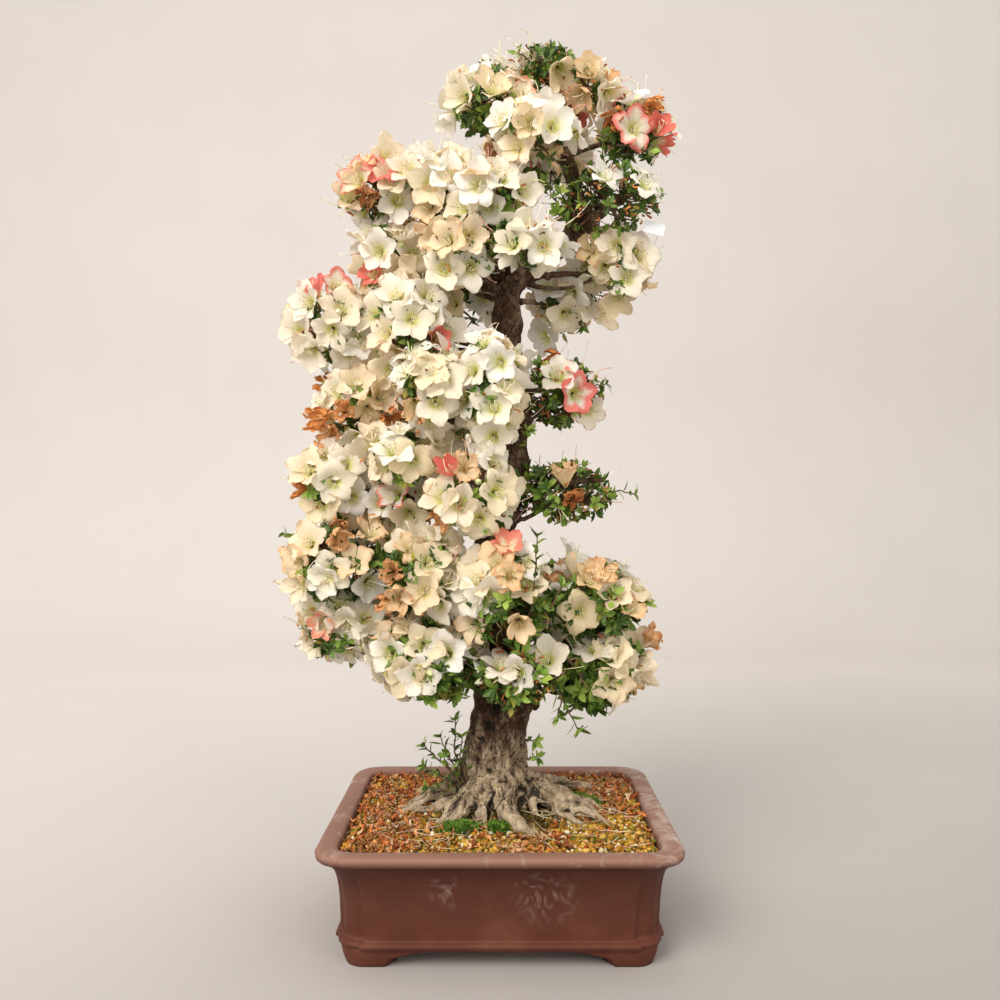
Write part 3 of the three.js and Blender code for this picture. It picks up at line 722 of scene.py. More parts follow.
rng = np.random.default_rng(31)
templates = [split(*tuft(rng)) for _ in range(5)]
for name, ((x, y), reach, height) in MOSS.items():
    count = int(reach[0] * reach[1] * 3.2)
    angle = rng.uniform(0, 2 * math.pi, count)
    out = np.sqrt(rng.uniform(0, 1, count))
    edge = 1 + 0.16 * np.sin(angle * 3 + x) + 0.1 * np.sin(angle * 7 + y)
    across, deep = np.cos(angle) * out * edge, np.sin(angle) * out * edge
    spots = np.column_stack([x + across * reach[0], y + deep * reach[1], np.zeros(count)])
    rise = height * 0.9 * np.sqrt(np.clip(1 - out ** 2, 0, 1))
    lumpy = uneven(spots, 9, 2.4, 3)
    spots[:, 2] = soil_height(*spots.T[:2]) + rise + lumpy - 1.0
    matrices = turns(count, rng) * 0.3 + np.eye(3)
    matrices = matrices * rng.uniform(2.2, 4.2, (count, 1, 1))
    tufts, tuft_faces, owner = scattered(templates, rng.integers(0, 5, count), matrices, spots)
    shades = rgb(MOSS_COLOURS)[rng.integers(0, len(MOSS_COLOURS), count)][owner]
    rings = []
    for share, rise in ((0.96, -3), (0.9, 0.3), (0.7, 0.6), (0.4, 0.8), (0.1, 0.86)):
        ring = circle(x, y, reach[0] * share, reach[1] * share, 24)
        ring[:, 2] = soil_height(*ring.T[:2]) + height * rise - 0.5
        rings.append(ring)
    mound, mound_faces = skin_rings(rings)
    points, faces = join([(tufts, tuft_faces.tolist()), (mound, mound_faces)])
    # the mound under the tufts: the deep green of older stems, and painted shade between the tufts
    under = np.broadcast_to(linear(MOSS_BASE_AND_PAINTED_SHADE)[:3], (len(mound), 3))
    make_piece(name + "_tufts", place(points), faces, moss_leaf, [name],
               layers={"shade": np.vstack([shades, under])}, smooth=False)


# Wood: the old trunk with its surface roots and branches, all one living piece rooted in the soil. Its
# bark is finely cracked and knobbly, dark above and worn to pale beige where the roots spread.

WOOD_VOXEL = 1.5
WOOD_MIDDLE = (-3, 6)
THICKEST = 60.0
FLARE_TOP = 172
FINE_ROOTS = 30
# surface roots and thicker limbs: the points of each, then its first and last radius
LIMBS = [
    ([(-36, -2, 140), (-58, -12, 126), (-84, -16, 120), (-106, -14, 118), (-128, -22, 112)], 8, 3),
    ([(-24, -18, 150), (-36, -36, 134), (-44, -50, 122), (-56, -66, 109)], 12, 4.5),
    ([(-40, -40, 128), (-60, -46, 120), (-76, -58, 111)], 6, 3),
    ([(-18, -28, 138), (-18, -46, 123), (-10, -62, 110)], 5.5, 2.6),
    ([(-6, -30, 138), (-1, -44, 123), (4, -52, 112)], 6, 3),
    ([(12, -20, 152), (2, -40, 134), (8, -52, 127), (24, -66, 117), (36, -80, 109)], 12.5, 5.5),
    ([(20, -62, 118), (32, -66, 115), (46, -72, 109)], 5, 3),
    ([(32, -12, 148), (52, -26, 129), (70, -36, 121), (92, -50, 111)], 11, 4),
    ([(56, -24, 128), (84, -26, 121), (108, -34, 116), (126, -46, 110)], 7, 2.8),
    ([(38, 2, 146), (68, 4, 130), (98, 6, 121), (126, 0, 111)], 9, 3),
    ([(74, 2, 128), (100, 18, 120), (124, 26, 112)], 6, 2.5),
    ([(-38, 16, 138), (-70, 22, 123), (-104, 18, 112)], 8, 3),
    ([(-30, 36, 136), (-52, 58, 121), (-84, 74, 110)], 8, 3),
    ([(14, 46, 136), (34, 72, 121), (62, 92, 110)], 8, 3),
    ([(34, -4, 232), (40, -4, 250), (34, -4, 268)], 9, 9),
    ([(84, 4, 762), (110, -14, 782), (136, -20, 800), (158, -22, 812)], 9, 3.2),
    ([(112, -12, 782), (118, -22, 806), (112, -26, 828)], 5, 2.2),
    ([(10, -2, 582), (40, -8, 590), (72, -4, 598), (104, 4, 602)], 7, 2.5),
    ([(18, 4, 478), (50, -14, 478), (84, -16, 486), (120, -14, 488)], 7.5, 2.5),
    ([(14, 2, 712), (60, 14, 706), (104, 22, 720), (150, 24, 738)], 3.6, 2),
    ([(14, 2, 735), (-30, -14, 728), (-70, -20, 738)], 6.5, 2.6),
]
HOLLOWS = [((-8, -32, 240), (8, 12, 17)), ((-14, -32, 216), (9, 12, 8)), ((10, -34, 256), (9, 12, 9)),
           ((-22, -30, 199), (6, 10, 6)), ((6, -32, 292), (8, 10, 14)), ((-12, -36, 166), (5, 9, 5))]


def along_path(points, reach, at):
    """Points on a path at some distances; reach is how far along the path's own points are."""
    return np.column_stack([np.interp(at, reach, points[:, axis]) for axis in range(3)])


def eased(points, reach, steps):
    """The path in equal steps, its corners rounded."""
    path = along_path(points, reach, np.linspace(0, reach[-1], steps))
    for _ in range(2):
        path[1:-1] = (path[:-2] + 2 * path[1:-1] + path[2:]) / 4
    return path


def tapered(points, start, end, rng, steps=12):
    """A round limb through a few points, smoothly curved, wandering a little and tapering."""
    points = np.array(points, float)
    reach = np.concatenate([[0], np.cumsum(np.linalg.norm(np.diff(points, axis=0), axis=1))])
    path = eased(points, reach, steps)
    path += np.sin(np.linspace(0, 1, steps) * math.pi)[:, None] * rng.normal(0, 1.3, (steps, 3))
    radii = np.linspace(start, end, steps) * rng.uniform(0.9, 1.15, steps)
    points, faces, _ = tubes(path[None], radii[None], 9)
    return points, faces


rng = np.random.default_rng(41)
parts = [mesh_data(frame["nodes"]["trunk_and_branches"].data)]
parts += [tapered(points, start, end, rng) for points, start, end in LIMBS]
for index in range(FINE_ROOTS):
    turn = index * 2.399 + rng.uniform(-0.2, 0.2)
    reach = rng.uniform(52, 104)
    steps = np.linspace(0, 1, 6)
    out = 28 + (reach - 28) * steps
    wander = turn + 0.25 * np.sin(steps * rng.uniform(3, 6) + rng.uniform(0, 6)) * steps
    level = 107 + rng.uniform(22, 40) * (1 - steps) ** 1.6 + 5 * (1 - steps)
    path = np.column_stack([out * np.cos(wander) * 1.15 + WOOD_MIDDLE[0],
                            out * np.sin(wander) * 0.66 + WOOD_MIDDLE[1], level])
    parts.append(tapered(path, rng.uniform(3.4, 6.5), 1.7, rng))
grown = raw_object("wood_growing", *join(parts))
fuse = grown.modifiers.new("grow_together", "REMESH")
fuse.mode = "VOXEL"
fuse.voxel_size = WOOD_VOXEL * MM
ready = modified(grown)

count = len(ready.vertices)
points = np.empty(count * 3, np.float32)
ready.vertices.foreach_get("co", points)
points = (points.reshape(-1, 3).astype(float) - [POT_X, POT_Y, 0]) / MM
edges = np.empty(len(ready.edges) * 2, np.int32)
ready.edges.foreach_get("vertices", edges)
edges = edges.reshape(-1, 2)
neighbours = np.bincount(edges.ravel(), minlength=count)[:, None]


def relaxed(values, rounds):
    """Values at each point of the wood's skin, evened out over its neighbours."""
    for _ in range(rounds):
        total = np.stack([np.bincount(edges[:, 0], column[edges[:, 1]], count)
                          + np.bincount(edges[:, 1], column[edges[:, 0]], count) for column in values.T], 1)
        values = values * 0.4 + 0.6 * total / np.maximum(neighbours, 1)
    return values


points = relaxed(points, 9)
skin_faces = [list(face.vertices) for face in ready.polygons]
skin_tree = BVHTree.FromPolygons([Vector(p) for p in points], skin_faces)
ready.vertices.foreach_set("co", place(points).astype(np.float32).ravel())
ready.update()
normals = np.array([v.normal[:] for v in ready.vertices])
thick = np.full(count, THICKEST)
for index in range(count):
    inward = Vector(-normals[index])
    hit = skin_tree.ray_cast(Vector(points[index]) + inward * 0.3, inward, THICKEST)
    if hit[0] is not None:
        thick[index] = hit[3]
thick = relaxed(thick[:, None], 4)[:, 0]

# The bark: a net of cracks round small plates, over broader swellings; everything is shallower on thin
# wood. Roots near the soil twist and bulge.
# noise_vector takes its offsets from the clock unless a seed is set
noise.seed_set(43)
cracks, lumps, twist = np.empty(count), np.empty(count), np.zeros((count, 3))
for index in range(count):
    at = Vector(points[index])
    along = Vector((at.x, at.y, at.z * 0.55))
    along += noise.noise_vector(along / 9) * 3.2
    near = noise.voronoi(along / 6.4)[0]
    cracks[index] = near[1] - near[0]
    lumps[index] = noise.turbulence(along / 11, 4, False)
    if at.z < FLARE_TOP:
        twist[index] = noise.noise_vector(at / 22) * 5
twist *= (np.clip((FLARE_TOP - points[:, 2]) / 35, 0, 1)
          * np.clip((points[:, 2] - 104) / 8, 0, 1))[:, None]
depth = np.clip(thick / 40, 0.06, 1.0)
swell = np.zeros(count)
for index in np.flatnonzero(thick > 9):
    swell[index] = noise.noise(Vector(points[index]) / (11 if thick[index] < 26 else 26))
hollow = np.zeros(count)
for middle, reach in HOLLOWS:
    away = (points - middle) / reach
    hollow = np.maximum(hollow, np.exp(-(away ** 2).sum(1)))
low_down = np.clip((165 - points[:, 2]) / 26, 0, 1)
fluting = np.zeros(count)
for index in np.flatnonzero(low_down > 0):
    at = points[index]
    bearing = math.atan2(at[1] - WOOD_MIDDLE[1], at[0] - WOOD_MIDDLE[0])
    out = math.hypot(at[0] - WOOD_MIDDLE[0], at[1] - WOOD_MIDDLE[1])
    fluting[index] = noise.turbulence(Vector((bearing * 5.5, out / 42, at[2] / 30)), 4, False) - 0.45
trough = np.clip(1 - cracks / 0.13, 0, 1) * (1 - 0.85 * low_down)
carve = depth * (-1.3 * trough + 2.8 * (lumps - 0.5)) + swell * np.clip(thick * 0.13, 0.4, 5.5)
carve += fluting * low_down * np.clip(thick / 7, 0.2, 4.5)
carve -= 9 * hollow * np.clip(thick / 40, 0, 1)
points = points + normals * carve[:, None] + twist
# painted shade: the bark darkens where its skin is concave and in the hollows; in the cracks the darkening
# is their own colour and painted shade together
even = relaxed(points.copy(), 6)
cavity = ((points - even) * normals).sum(1)
crack_and_painted_shade = (0.38 - cavity / np.where(low_down > 0.4, 1.9, 1.4)
           + 0.24 * trough * np.clip(depth * 2, 0.2, 1) + 0.9 * hollow)
crack_and_painted_shade = np.clip(crack_and_painted_shade - 0.35 * fluting * low_down, 0, 1)
# pale marks the worn beige bark low down; higher up, the bark's dark brown also stands in for painted shade
# from the crown
pale = np.clip((240 - points[:, 2]) / 80, 0, 1) * 0.8 + 0.35 * np.clip((140 - points[:, 2]) / 20, 0, 1)
pale = np.where((thick < 14) & (points[:, 2] > 182), 0.12, pale + 0.4 * (lumps - 0.5))
buried = np.clip((soil_height(*points.T[:2]) + 5 - points[:, 2]) / 6, 0, 1)

# Old bark: dull and dry, near black in its cracks, partly its own colour and partly painted shade, which
# also darkens its hollows and creases; brown above, where painted shade from the crown darkens it, and
# beige on the worn plates lower down; the roots are barkless, pale and faintly lilac, and dirty where
# they enter the soil.
bark, tree, where = start_material("azalea_bark_weathered")
carried_crack_and_painted_shade, paleness, soiling = carried(tree, "bark")
long_way = add(tree, "Mapping", {0: where, 3: (1.0, 1.0, 0.4)})
grain = cloudy(tree, long_way, 520.0, 6.0, 0.72)
patch = cloudy(tree, where, 48.0, 6.0, 0.68)
old = ramp(tree, grain, (0.28, "#1E130C"), (0.46, "#3B281B"), (0.6, "#583F2B"), (0.8, "#7C6146"))
worn = ramp(tree, grain, (0.28, "#786349"), (0.46, "#AA9577"), (0.62, "#CBBBA1"), (0.85, "#E2D7C2"))
lilac = ranged(tree, patch, 0.48, 0.6, 0.0, 0.66)
low = ranged(tree, paleness, 0.85, 1.0, 0.0, 1.0)
lilac = worked(tree, "MULTIPLY", lilac, low)
root = mixed(tree, lilac, worn, "#9A837D")
edge = worked(tree, "ADD", patch, -0.5)
edge = worked(tree, "MULTIPLY_ADD", edge, 1.8, paleness)
base = mixed(tree, add(tree, "Clamp", {0: edge}), old, root)
# crack colour and painted shade: the carried value darkens the bark towards near black
dark = ranged(tree, carried_crack_and_painted_shade, 0.5, 0.95, 0.0, 0.92)
deep = mixed(tree, dark, base, "#140E09")
dirt = worked(tree, "MULTIPLY", soiling, 0.75)
soiled = mixed(tree, dirt, deep, "#3A2B18")
relief = bumpy(tree, grain, 0.7, 0.001)
finish(tree, shaded(tree, soiled, 0.9, relief, specular=0.25))

make_piece("trunk_roots_and_branches", place(points), skin_faces, bark, ["trunk_and_branches"],
           layers={"bark": np.column_stack([crack_and_painted_shade, np.clip(pale, 0, 1), buried])})


# The crown: satsuki azalea in full flower. Every pad is a spray of fine twigs from its branch, whorls of
# small leaves, and funnel-shaped blossoms of five broad lobes at all stages, from green buds to flowers
# that have withered orange on the twig.

# name, middle, reach to each side, and the shares that are ageing, withered and touched with coral
PADS = [
    ("blossoms_crown_left", (-15, -10, 917), (46, 38, 38), 0.25, 0.02, 0.05),
    ("leaves_crown_top", (47, 0, 954), (40, 32, 24), 0.2, 0.1, 0.0),
    ("blossoms_crown_right", (99, 5, 932), (37, 38, 32), 0.35, 0.05, 0.1),
    ("blossoms_crown_tip", (152, 0, 886), (42, 38, 38), 0.2, 0.04, 0.25),
    ("blossoms_crown_front", (36, -46, 862), (46, 34, 37), 0.25, 0.06, 0.05),
    ("blossoms_crown_back", (50, 60, 890), (68, 40, 50), 0.25, 0.08, 0.1),
    ("blossoms_upper_left_end", (-135, -2, 811), (46, 46, 44), 0.3, 0.1, 0.1),
    ("blossoms_upper_left", (-66, -30, 811), (44, 44, 40), 0.35, 0.04, 0.0),
    ("blossoms_upper_front", (-8, -58, 791), (44, 36, 38), 0.25, 0.04, 0.03),
    ("blossoms_upper_left_low", (-122, 2, 738), (48, 46, 42), 0.25, 0.04, 0.0),
    ("blossoms_centre_left", (-44, -60, 731), (38, 34, 36), 0.15, 0.04, 0.0),
    ("blossoms_centre_right", (30, -84, 731), (40, 26, 27), 0.05, 0.0, 0.0),
    ("leaves_upper_right", (123, -16, 800), (56, 46, 38), 0.2, 0.1, 0.0),
    ("blossoms_upper_right_low", (134, 24, 738), (46, 46, 42), 0.25, 0.05, 0.05),
    ("blossoms_upper_right_back", (76, 58, 706), (44, 38, 42), 0.25, 0.1, 0.05),
    ("blossoms_middle_left_end", (-187, 0, 664), (54, 50, 48), 0.25, 0.03, 0.03),
    ("blossoms_middle_left", (-98, -25, 661), (46, 48, 48), 0.25, 0.05, 0.0),
    ("blossoms_middle_front_left", (-74, -60, 587), (40, 42, 44), 0.2, 0.03, 0.0),
    ("blossoms_middle_front", (-6, -66, 580), (38, 36, 62), 0.05, 0.0, 0.0),
    ("blossoms_middle_left_low", (-160, 6, 570), (48, 48, 46), 0.4, 0.2, 0.0),
    ("blossoms_centre_left_low", (-104, -40, 516), (48, 40, 34), 0.25, 0.05, 0.0),
    ("leaves_middle_right", (68, 8, 590), (46, 44, 38), 0.2, 0.1, 0.2),
    ("blossoms_left_edge", (-190, 0, 488), (44, 44, 42), 0.25, 0.1, 0.0),
    ("blossoms_lower_left_inner", (-112, 10, 462), (44, 44, 38), 0.3, 0.1, 0.05),
    ("blossoms_lower_middle_front", (-30, -66, 472), (48, 38, 46), 0.15, 0.03, 0.0),
    ("leaves_lower_right", (70, -5, 474), (58, 46, 34), 0.2, 0.7, 0.0),
    ("blossoms_low_left", (-176, -10, 397), (66, 50, 50), 0.4, 0.2, 0.0),
    ("blossoms_low_left_under", (-176, 12, 325), (60, 50, 44), 0.3, 0.05, 0.05),
    ("blossoms_low_front_left", (-84, -52, 380), (48, 45, 48), 0.35, 0.12, 0.0),
    ("blossoms_low_front", (4, -78, 366), (46, 40, 54), 0.35, 0.1, 0.0),
    ("blossoms_low_front_under", (-78, -46, 294), (62, 48, 44), 0.25, 0.02, 0.0),
    ("leaves_low_centre", (18, -64, 282), (48, 34, 34), 0.2, 0.0, 0.0),
    ("blossoms_low_right", (104, -18, 352), (60, 50, 46), 0.3, 0.2, 0.0),
    ("blossoms_low_right_under", (112, -10, 276), (58, 52, 42), 0.3, 0.08, 0.0),
    ("blossoms_low_back_left", (-94, 84, 346), (74, 46, 66), 0.3, 0.1, 0.05),
    ("blossoms_low_back_right", (52, 80, 332), (70, 46, 62), 0.3, 0.1, 0.05),
    ("blossoms_middle_back", (-50, 74, 560), (84, 44, 72), 0.3, 0.1, 0.05),
    ("blossoms_upper_back", (-54, 66, 738), (84, 46, 66), 0.3, 0.1, 0.05),
    ("leaves_base_shoots", (-62, 4, 172), (25, 22, 40), 0.0, 0.0, 0.0),
]
# places on the front where leaves stand clear of the flowers: middle across and up, reach of each
LEAFY = [(43, 962, 34, 20), (116, 866, 22, 18), (-17, 894, 20, 9), (-128, 398, 36, 15), (41, 335, 56, 32),
         (-52, 268, 26, 22), (71, 251, 38, 38), (128, 338, 28, 20), (-184, 310, 16, 12), (-19, 735, 26, 18),
         (-106, 574, 18, 12), (-97, 512, 24, 24), (60, 800, 30, 20), (70, 690, 30, 22)]
# the blossoms that stand out on the front: place, how far gone from fresh to withered, how much coral
# and how far open; the last two are left out where there is no coral and the flower is fully open
FRONT_BLOSSOMS = [
    (-8, -45, 913, 0.35, 0.15, 1), (-43, -37, 906, 0.25, 0, 0.8), (-57, -10, 892, 0.1, 0, 0.4),
    (20, -33, 914, 0.4, 0.45, 0.8), (67, -21, 941, 0.3, 0, 0.8), (98, -31, 938, 0.62, 0, 0.5),
    (123, -17, 917, 0.35, 0, 0.8), (31, -79, 859, 0.4, 0, 0.6), (56, -75, 859, 0), (17, -67, 840, 0.5),
    (86, 9, 903, 0.1, 0.9, 0.6), (148, -35, 874, 0.1, 0.55, 1), (175, -29, 876, 0.1, 1, 0.8),
    (-19, 60, 889, 0.3), (68, -1, 917, 0.5, 0, 0.6), (126, -29, 886, 0.95), (0, -65, 870, 0.3, 0, 0.8),
    (-129, -43, 827, 0.1, 0.95, 1), (-101, -51, 824, 0.4, 0, 0.8), (-157, -41, 815, 0.3, 0.5, 0.8),
    (-142, -43, 797, 0.95), (-167, -31, 800, 0.35, 0.3, 0.8), (-54, -71, 810, 0.1), (-23, -91, 791, 0.1),
    (-112, -35, 794, 0.1), (-77, -55, 781, 0.6), (-97, 2, 775, 0.66), (27, -77, 790, 0.15, 0.2, 0.8),
    (12, -105, 727, 0), (44, -105, 723, 0.05), (-31, -91, 737, 0.5, 0, 0.8), (-58, -81, 707, 0.05, 0, 0.9),
    (-146, -19, 768, 0.3), (-107, -35, 757, 0.35), (-133, -41, 736, 0.3), (-110, -33, 715, 0.5),
    (-57, 33, 697, 0.3), (-74, -69, 799, 0.2), (-93, -33, 735, 0.3), (-75, -57, 686, 0.3),
    (-40, -75, 774, 0.25, 0, 0.8), (-117, -43, 815, 0.2, 0, 0.9), (-211, -41, 680, 0.3),
    (-172, -45, 674, 0.4), (-140, -41, 668, 0.3), (-110, -65, 683, 0.3), (-125, -59, 645, 0.5),
    (-156, -31, 642, 0.1), (-224, -31, 649, 0.3), (-210, -25, 629, 0.3), (-92, -71, 657, 0.3),
    (-204, -31, 697, 0.2, 0.9, 0.5), (-180, -25, 704, 0.3, 0.6, 0.6), (-142, -29, 714, 0.2, 0.9, 0.5),
    (-113, -45, 621, 0.55), (-74, -99, 600, 0.3), (-1, -97, 606, 0.05), (-41, -77, 572, 0.15),
    (-7, -99, 561, 0.1), (-67, -51, 639, 0.2, 0.9, 0.4), (-129, -27, 580, 0.5, 0, 0.8),
    (-158, -33, 594, 0.5), (-168, -39, 563, 0.92), (52, 58, 659, 0.2), (55, 27, 717, 0.2),
    (64, -31, 603, 0.2, 0.25, 0.8), (85, -31, 582, 0.15, 0.7, 1), (143, -11, 715, 0.3),
    (158, -13, 741, 0.3), (129, -19, 748, 0.3), (123, 58, 691, 0.45), (137, 17, 697, 0.35),
    (77, 29, 680, 0.3), (-95, -71, 622, 0.3), (-59, -97, 590, 0.1), (-31, -89, 601, 0.05),
    (-51, -60, 624, 0.1), (-19, -79, 632, 0.2), (-66, -93, 565, 0.1), (-184, -45, 648, 0.3),
    (-167, -21, 625, 0.3), (102, -1, 566, 0.2, 0.3, 0.8), (-160, -19, 532, 0.1, 0, 0.8),
    (-113, -77, 520, 0), (-193, -29, 518, 0.3), (-180, -41, 483, 0.1), (-212, -35, 499, 0.45),
    (-46, 33, 544, 0.1), (-7, -85, 529, 0.1), (-72, -63, 544, 0.3), (-3, -81, 504, 0.1),
    (-36, -95, 499, 0.72, 0, 0.9), (-52, -91, 497, 0.2, 1, 0.3), (-1, -95, 474, 0.1), (-42, -101, 460, 0.4),
    (-117, -31, 473, 0.3, 0.5, 1), (-100, -27, 447, 0.3), (-82, -59, 427, 0.2), (-166, 0, 451, 0.5),
    (-142, -31, 432, 0.7), (-117, -10, 423, 0.5), (-175, -51, 424, 0.88), (-208, -45, 420, 0.5),
    (-222, -45, 398, 0.6), (-181, -57, 386, 0.05), (-213, -21, 341, 0.1), (-112, -85, 390, 0.97),
    (-140, -43, 374, 0.2), (-103, -89, 363, 0.75), (-81, -95, 371, 0.5), (-34, -99, 364, 0),
    (9, -113, 389, 0.74), (-29, -89, 333, 0.6), (20, -109, 340, 0.6, 0, 0.5), (7, -89, 417, 0.3, 0.75, 0.5),
    (90, 80, 403, 0.1), (110, -51, 386, 0.75), (86, -63, 346, 0.4), (118, -51, 299, 0.1),
    (49, -81, 300, 0.2), (-117, -79, 304, 0.05, 0, 0.9), (-99, -87, 280, 0.3), (-56, -87, 306, 0.1, 0, 0.9),
    (-169, -19, 292, 0.3, 0.2, 1), (152, -11, 306, 0.5), (169, -10, 308, 0.8, 0, 0.8), (140, -57, 350, 0.7),
    (122, -59, 270, 0.5), (-148, -29, 335, 0.3), (-190, -17, 542, 0.85), (-194, -25, 560, 0.93),
    (-92, -65, 332, 0.5), (-198, -29, 459, 0.3), (-170, -33, 505, 0.3), (-219, -37, 371, 0.3),
    (-72, -89, 402, 0.3), (-59, -52, 427, 0.2), (-21, -93, 443, 0.2), (-62, -93, 469, 0.3),
    (-141, -3, 487, 0.3), (-92, -75, 506, 0.2), (-176, -29, 349, 0.2), (-188, -55, 378, 0.2),
    (-158, -57, 400, 0.6), (96, -55, 382, 0.6), (103, -43, 307, 0.2), (71, -37, 319, 0.3),
    (135, -51, 292, 0.2), (-139, -23, 312, 0.2), (-78, -87, 314, 0.2), (-134, -22, 622, 0.2),
    (-146, -14, 606, 0.3), (-121, -34, 606, 0.2), (-82, -91, 282, 0.3), (-54, 49, 325, 0.3),
    (-67, -85, 355, 0.3),
]
# single shoots with leaves along them: the points of each, then the leaf length
SHOOTS = [
    ([(34, -98, 350), (36, -104, 392), (38, -104, 428)], 15), ([(52, -92, 352), (62, -98, 376)], 14),
    ([(104, -12, 470), (130, -18, 477), (149, -20, 472)], 14), ([(114, -30, 792), (113, -32, 866)], 10),
    ([(40, -66, 296), (62, -84, 262), (80, -86, 228)], 18), ([(70, -56, 300), (94, -74, 266)], 17),
    ([(50, -62, 296), (66, -76, 262), (60, -80, 240)], 17), ([(-24, -62, 304), (-56, -86, 280)], 16),
    ([(-20, -60, 300), (-40, -84, 266)], 16), ([(20, -62, 300), (12, -90, 274)], 15),
    ([(-48, -70, 300), (-76, -84, 262)], 15), ([(28, -26, 200), (37, -36, 202)], 8),
    ([(30, -22, 178), (40, -30, 182)], 8), ([(-196, -20, 420), (-236, -28, 428)], 11),
    ([(94, 0, 592), (119, -8, 596)], 10), ([(18, -16, 520), (30, -38, 540)], 10),
    ([(96, -40, 350), (120, -62, 366)], 14), ([(130, -20, 860), (164, -30, 850)], 10),
    ([(84, 0, 760), (66, -24, 790), (50, -34, 812)], 13), ([(88, 0, 780), (66, -38, 800)], 13),
    ([(90, -4, 766), (62, -44, 776)], 12), ([(88, 0, 790), (74, -24, 832)], 12),
]
BASE_SHOOTS = [
    [(-34, -8, 134), (-60, -14, 150), (-84, -12, 166)], [(-34, -8, 138), (-54, -10, 168), (-66, -10, 198)],
    [(-36, -4, 142), (-52, -4, 180), (-50, -6, 216)], [(-34, -12, 134), (-56, -22, 142), (-80, -18, 146)],
    [(-36, -4, 140), (-66, -2, 168), (-86, 2, 186)], [(-34, -10, 146), (-46, -14, 174), (-42, -16, 200)],
    [(-36, 0, 134), (-62, 8, 148), (-86, 14, 156)], [(-34, -8, 136), (-52, -16, 158), (-62, -18, 178)],
]
GOLDEN_ANGLE = 2.39996
FLOWER_RADIUS = 25.5
FLOWER_SPACING = 22.5
TUBE_DEPTH = 12.0
LEAF_ROWS, LEAF_COLUMNS = 7, 5
PETAL_ROWS, PETAL_COLUMNS = 10, 9
PETAL_POINTS = PETAL_ROWS * PETAL_COLUMNS
FLOWER_POINTS = 5 * PETAL_POINTS
WITHERED = 0.8
STAMENS = 5
STEM_STEPS = 6
WHISKER_COLOURS = ["#F8F0DC", "#F4E4C4", "#F0A99C", "#EADFA6"]
STALK_COLOURS = ["#B8642C", "#96501F", "#DB9450", "#7A4622"]
BUD_COLOURS = ["#D5DFA2", "#EDE8C8", "#EF9A86"]
ACROSS, ALONG = np.meshgrid(np.linspace(-1, 1, PETAL_COLUMNS), np.linspace(0, 1, PETAL_ROWS))
PETAL_FACES = grid_faces(PETAL_ROWS, PETAL_COLUMNS)

# Azalea petal: thin and satin, cream-white with light coming through it, a green-yellow throat with
# freckles on the upper lobe; with age it turns cream-peach with tan edges, and withers orange-brown.
petal, tree, where = start_material("azalea_petal_living")
along, across, upper = carried(tree, "petal")
age, coral, own = carried(tree, "mood")
mottle = cloudy(tree, where, 110.0, 4.0, 0.6)
fine_mottle = cloudy(tree, where, 900.0, 2.0)
fresh = ramp(tree, own, (0.0, "#F5E4C0"), (0.25, "#F7EDD6"), (0.6, "#F9F4E7"), (1.0, "#FBF8F1"))
throat = ramp(tree, along, (0.0, "#CDD45A"), (0.2, "#E6E892"), (0.38, "#F5F4CC"), (0.55, "#FCF9EA"))
glow = ranged(tree, along, 0.14, 0.52, 0.95, 0.0)
base = mixed(tree, glow, fresh, throat)
freckle_space = add(tree, "CombineXYZ", {0: across, 1: along, 2: own})
freckle = add(tree, "TexVoronoi", {"Vector": freckle_space, "Scale": 17.0})
freckle_dot = ranged(tree, freckle.outputs["Distance"], 0.16, 0.3, 0.75, 0.0)
freckle_low = ranged(tree, along, 0.28, 0.34, 0.0, 1.0)
freckle_high = ranged(tree, along, 0.5, 0.66, 1.0, 0.0)
freckle_zone = worked(tree, "MULTIPLY", freckle_low, freckle_high)
freckle_zone = worked(tree, "MULTIPLY", freckle_zone, upper)
freckled = worked(tree, "MULTIPLY", freckle_zone, freckle_dot)
speckled = mixed(tree, freckled, base, "#9DA93C")
middle = worked(tree, "ADD", across, -0.5)
to_side = worked(tree, "ABSOLUTE", middle)
rim = worked(tree, "MULTIPLY_ADD", to_side, 0.7, along)
rim = worked(tree, "MULTIPLY_ADD", mottle, 0.5, rim)
blush_from = ranged(tree, coral, 0.0, 1.0, 1.62, 0.35)
blush = worked(tree, "SUBTRACT", rim, blush_from)
blush = ranged(tree, blush, 0.0, 0.3, 0.0, 0.92)
blushed = mixed(tree, blush, speckled, "#F0786C")
cream = ranged(tree, age, 0.22, 0.6, 0.0, 0.68)
creamed = mixed(tree, cream, blushed, "#F7DBA9")
tan_from = ranged(tree, age, 0.25, 0.8, 1.75, 0.55)
tanning = worked(tree, "SUBTRACT", rim, tan_from)
tanning = ranged(tree, tanning, 0.0, 0.5, 0.0, 0.7)
tan_colour = ramp(tree, fine_mottle, (0.3, "#E3A769"), (0.7, "#F2C793"))
tanned = mixed(tree, tanning, creamed, tan_colour)
brown = ramp(tree, own, (0.0, "#C9793A"), (0.3, "#E59A58"), (0.55, "#F2B170"), (0.8, "#EFC595"),
             (1.0, "#B56C32"))
wither = ranged(tree, age, 0.68, 0.98, -0.35, 0.8)
wither = worked(tree, "MULTIPLY_ADD", mottle, 0.6, wither)
wither = ranged(tree, wither, 0.12, 0.85, 0.0, 0.95)
withered = mixed(tree, wither, tanned, brown)
stain = ranged(tree, fine_mottle, 0.25, 0.75, 0.93, 1.03)
colour = tinted(tree, withered, stain)
vein_space = add(tree, "CombineXYZ", {0: across, 1: own})
vein_space = add(tree, "VectorMath", {0: vein_space, 1: (26.0, 40.0, 1.0)}, operation="MULTIPLY")
vein = cloudy(tree, vein_space, 1.0, 2.0)
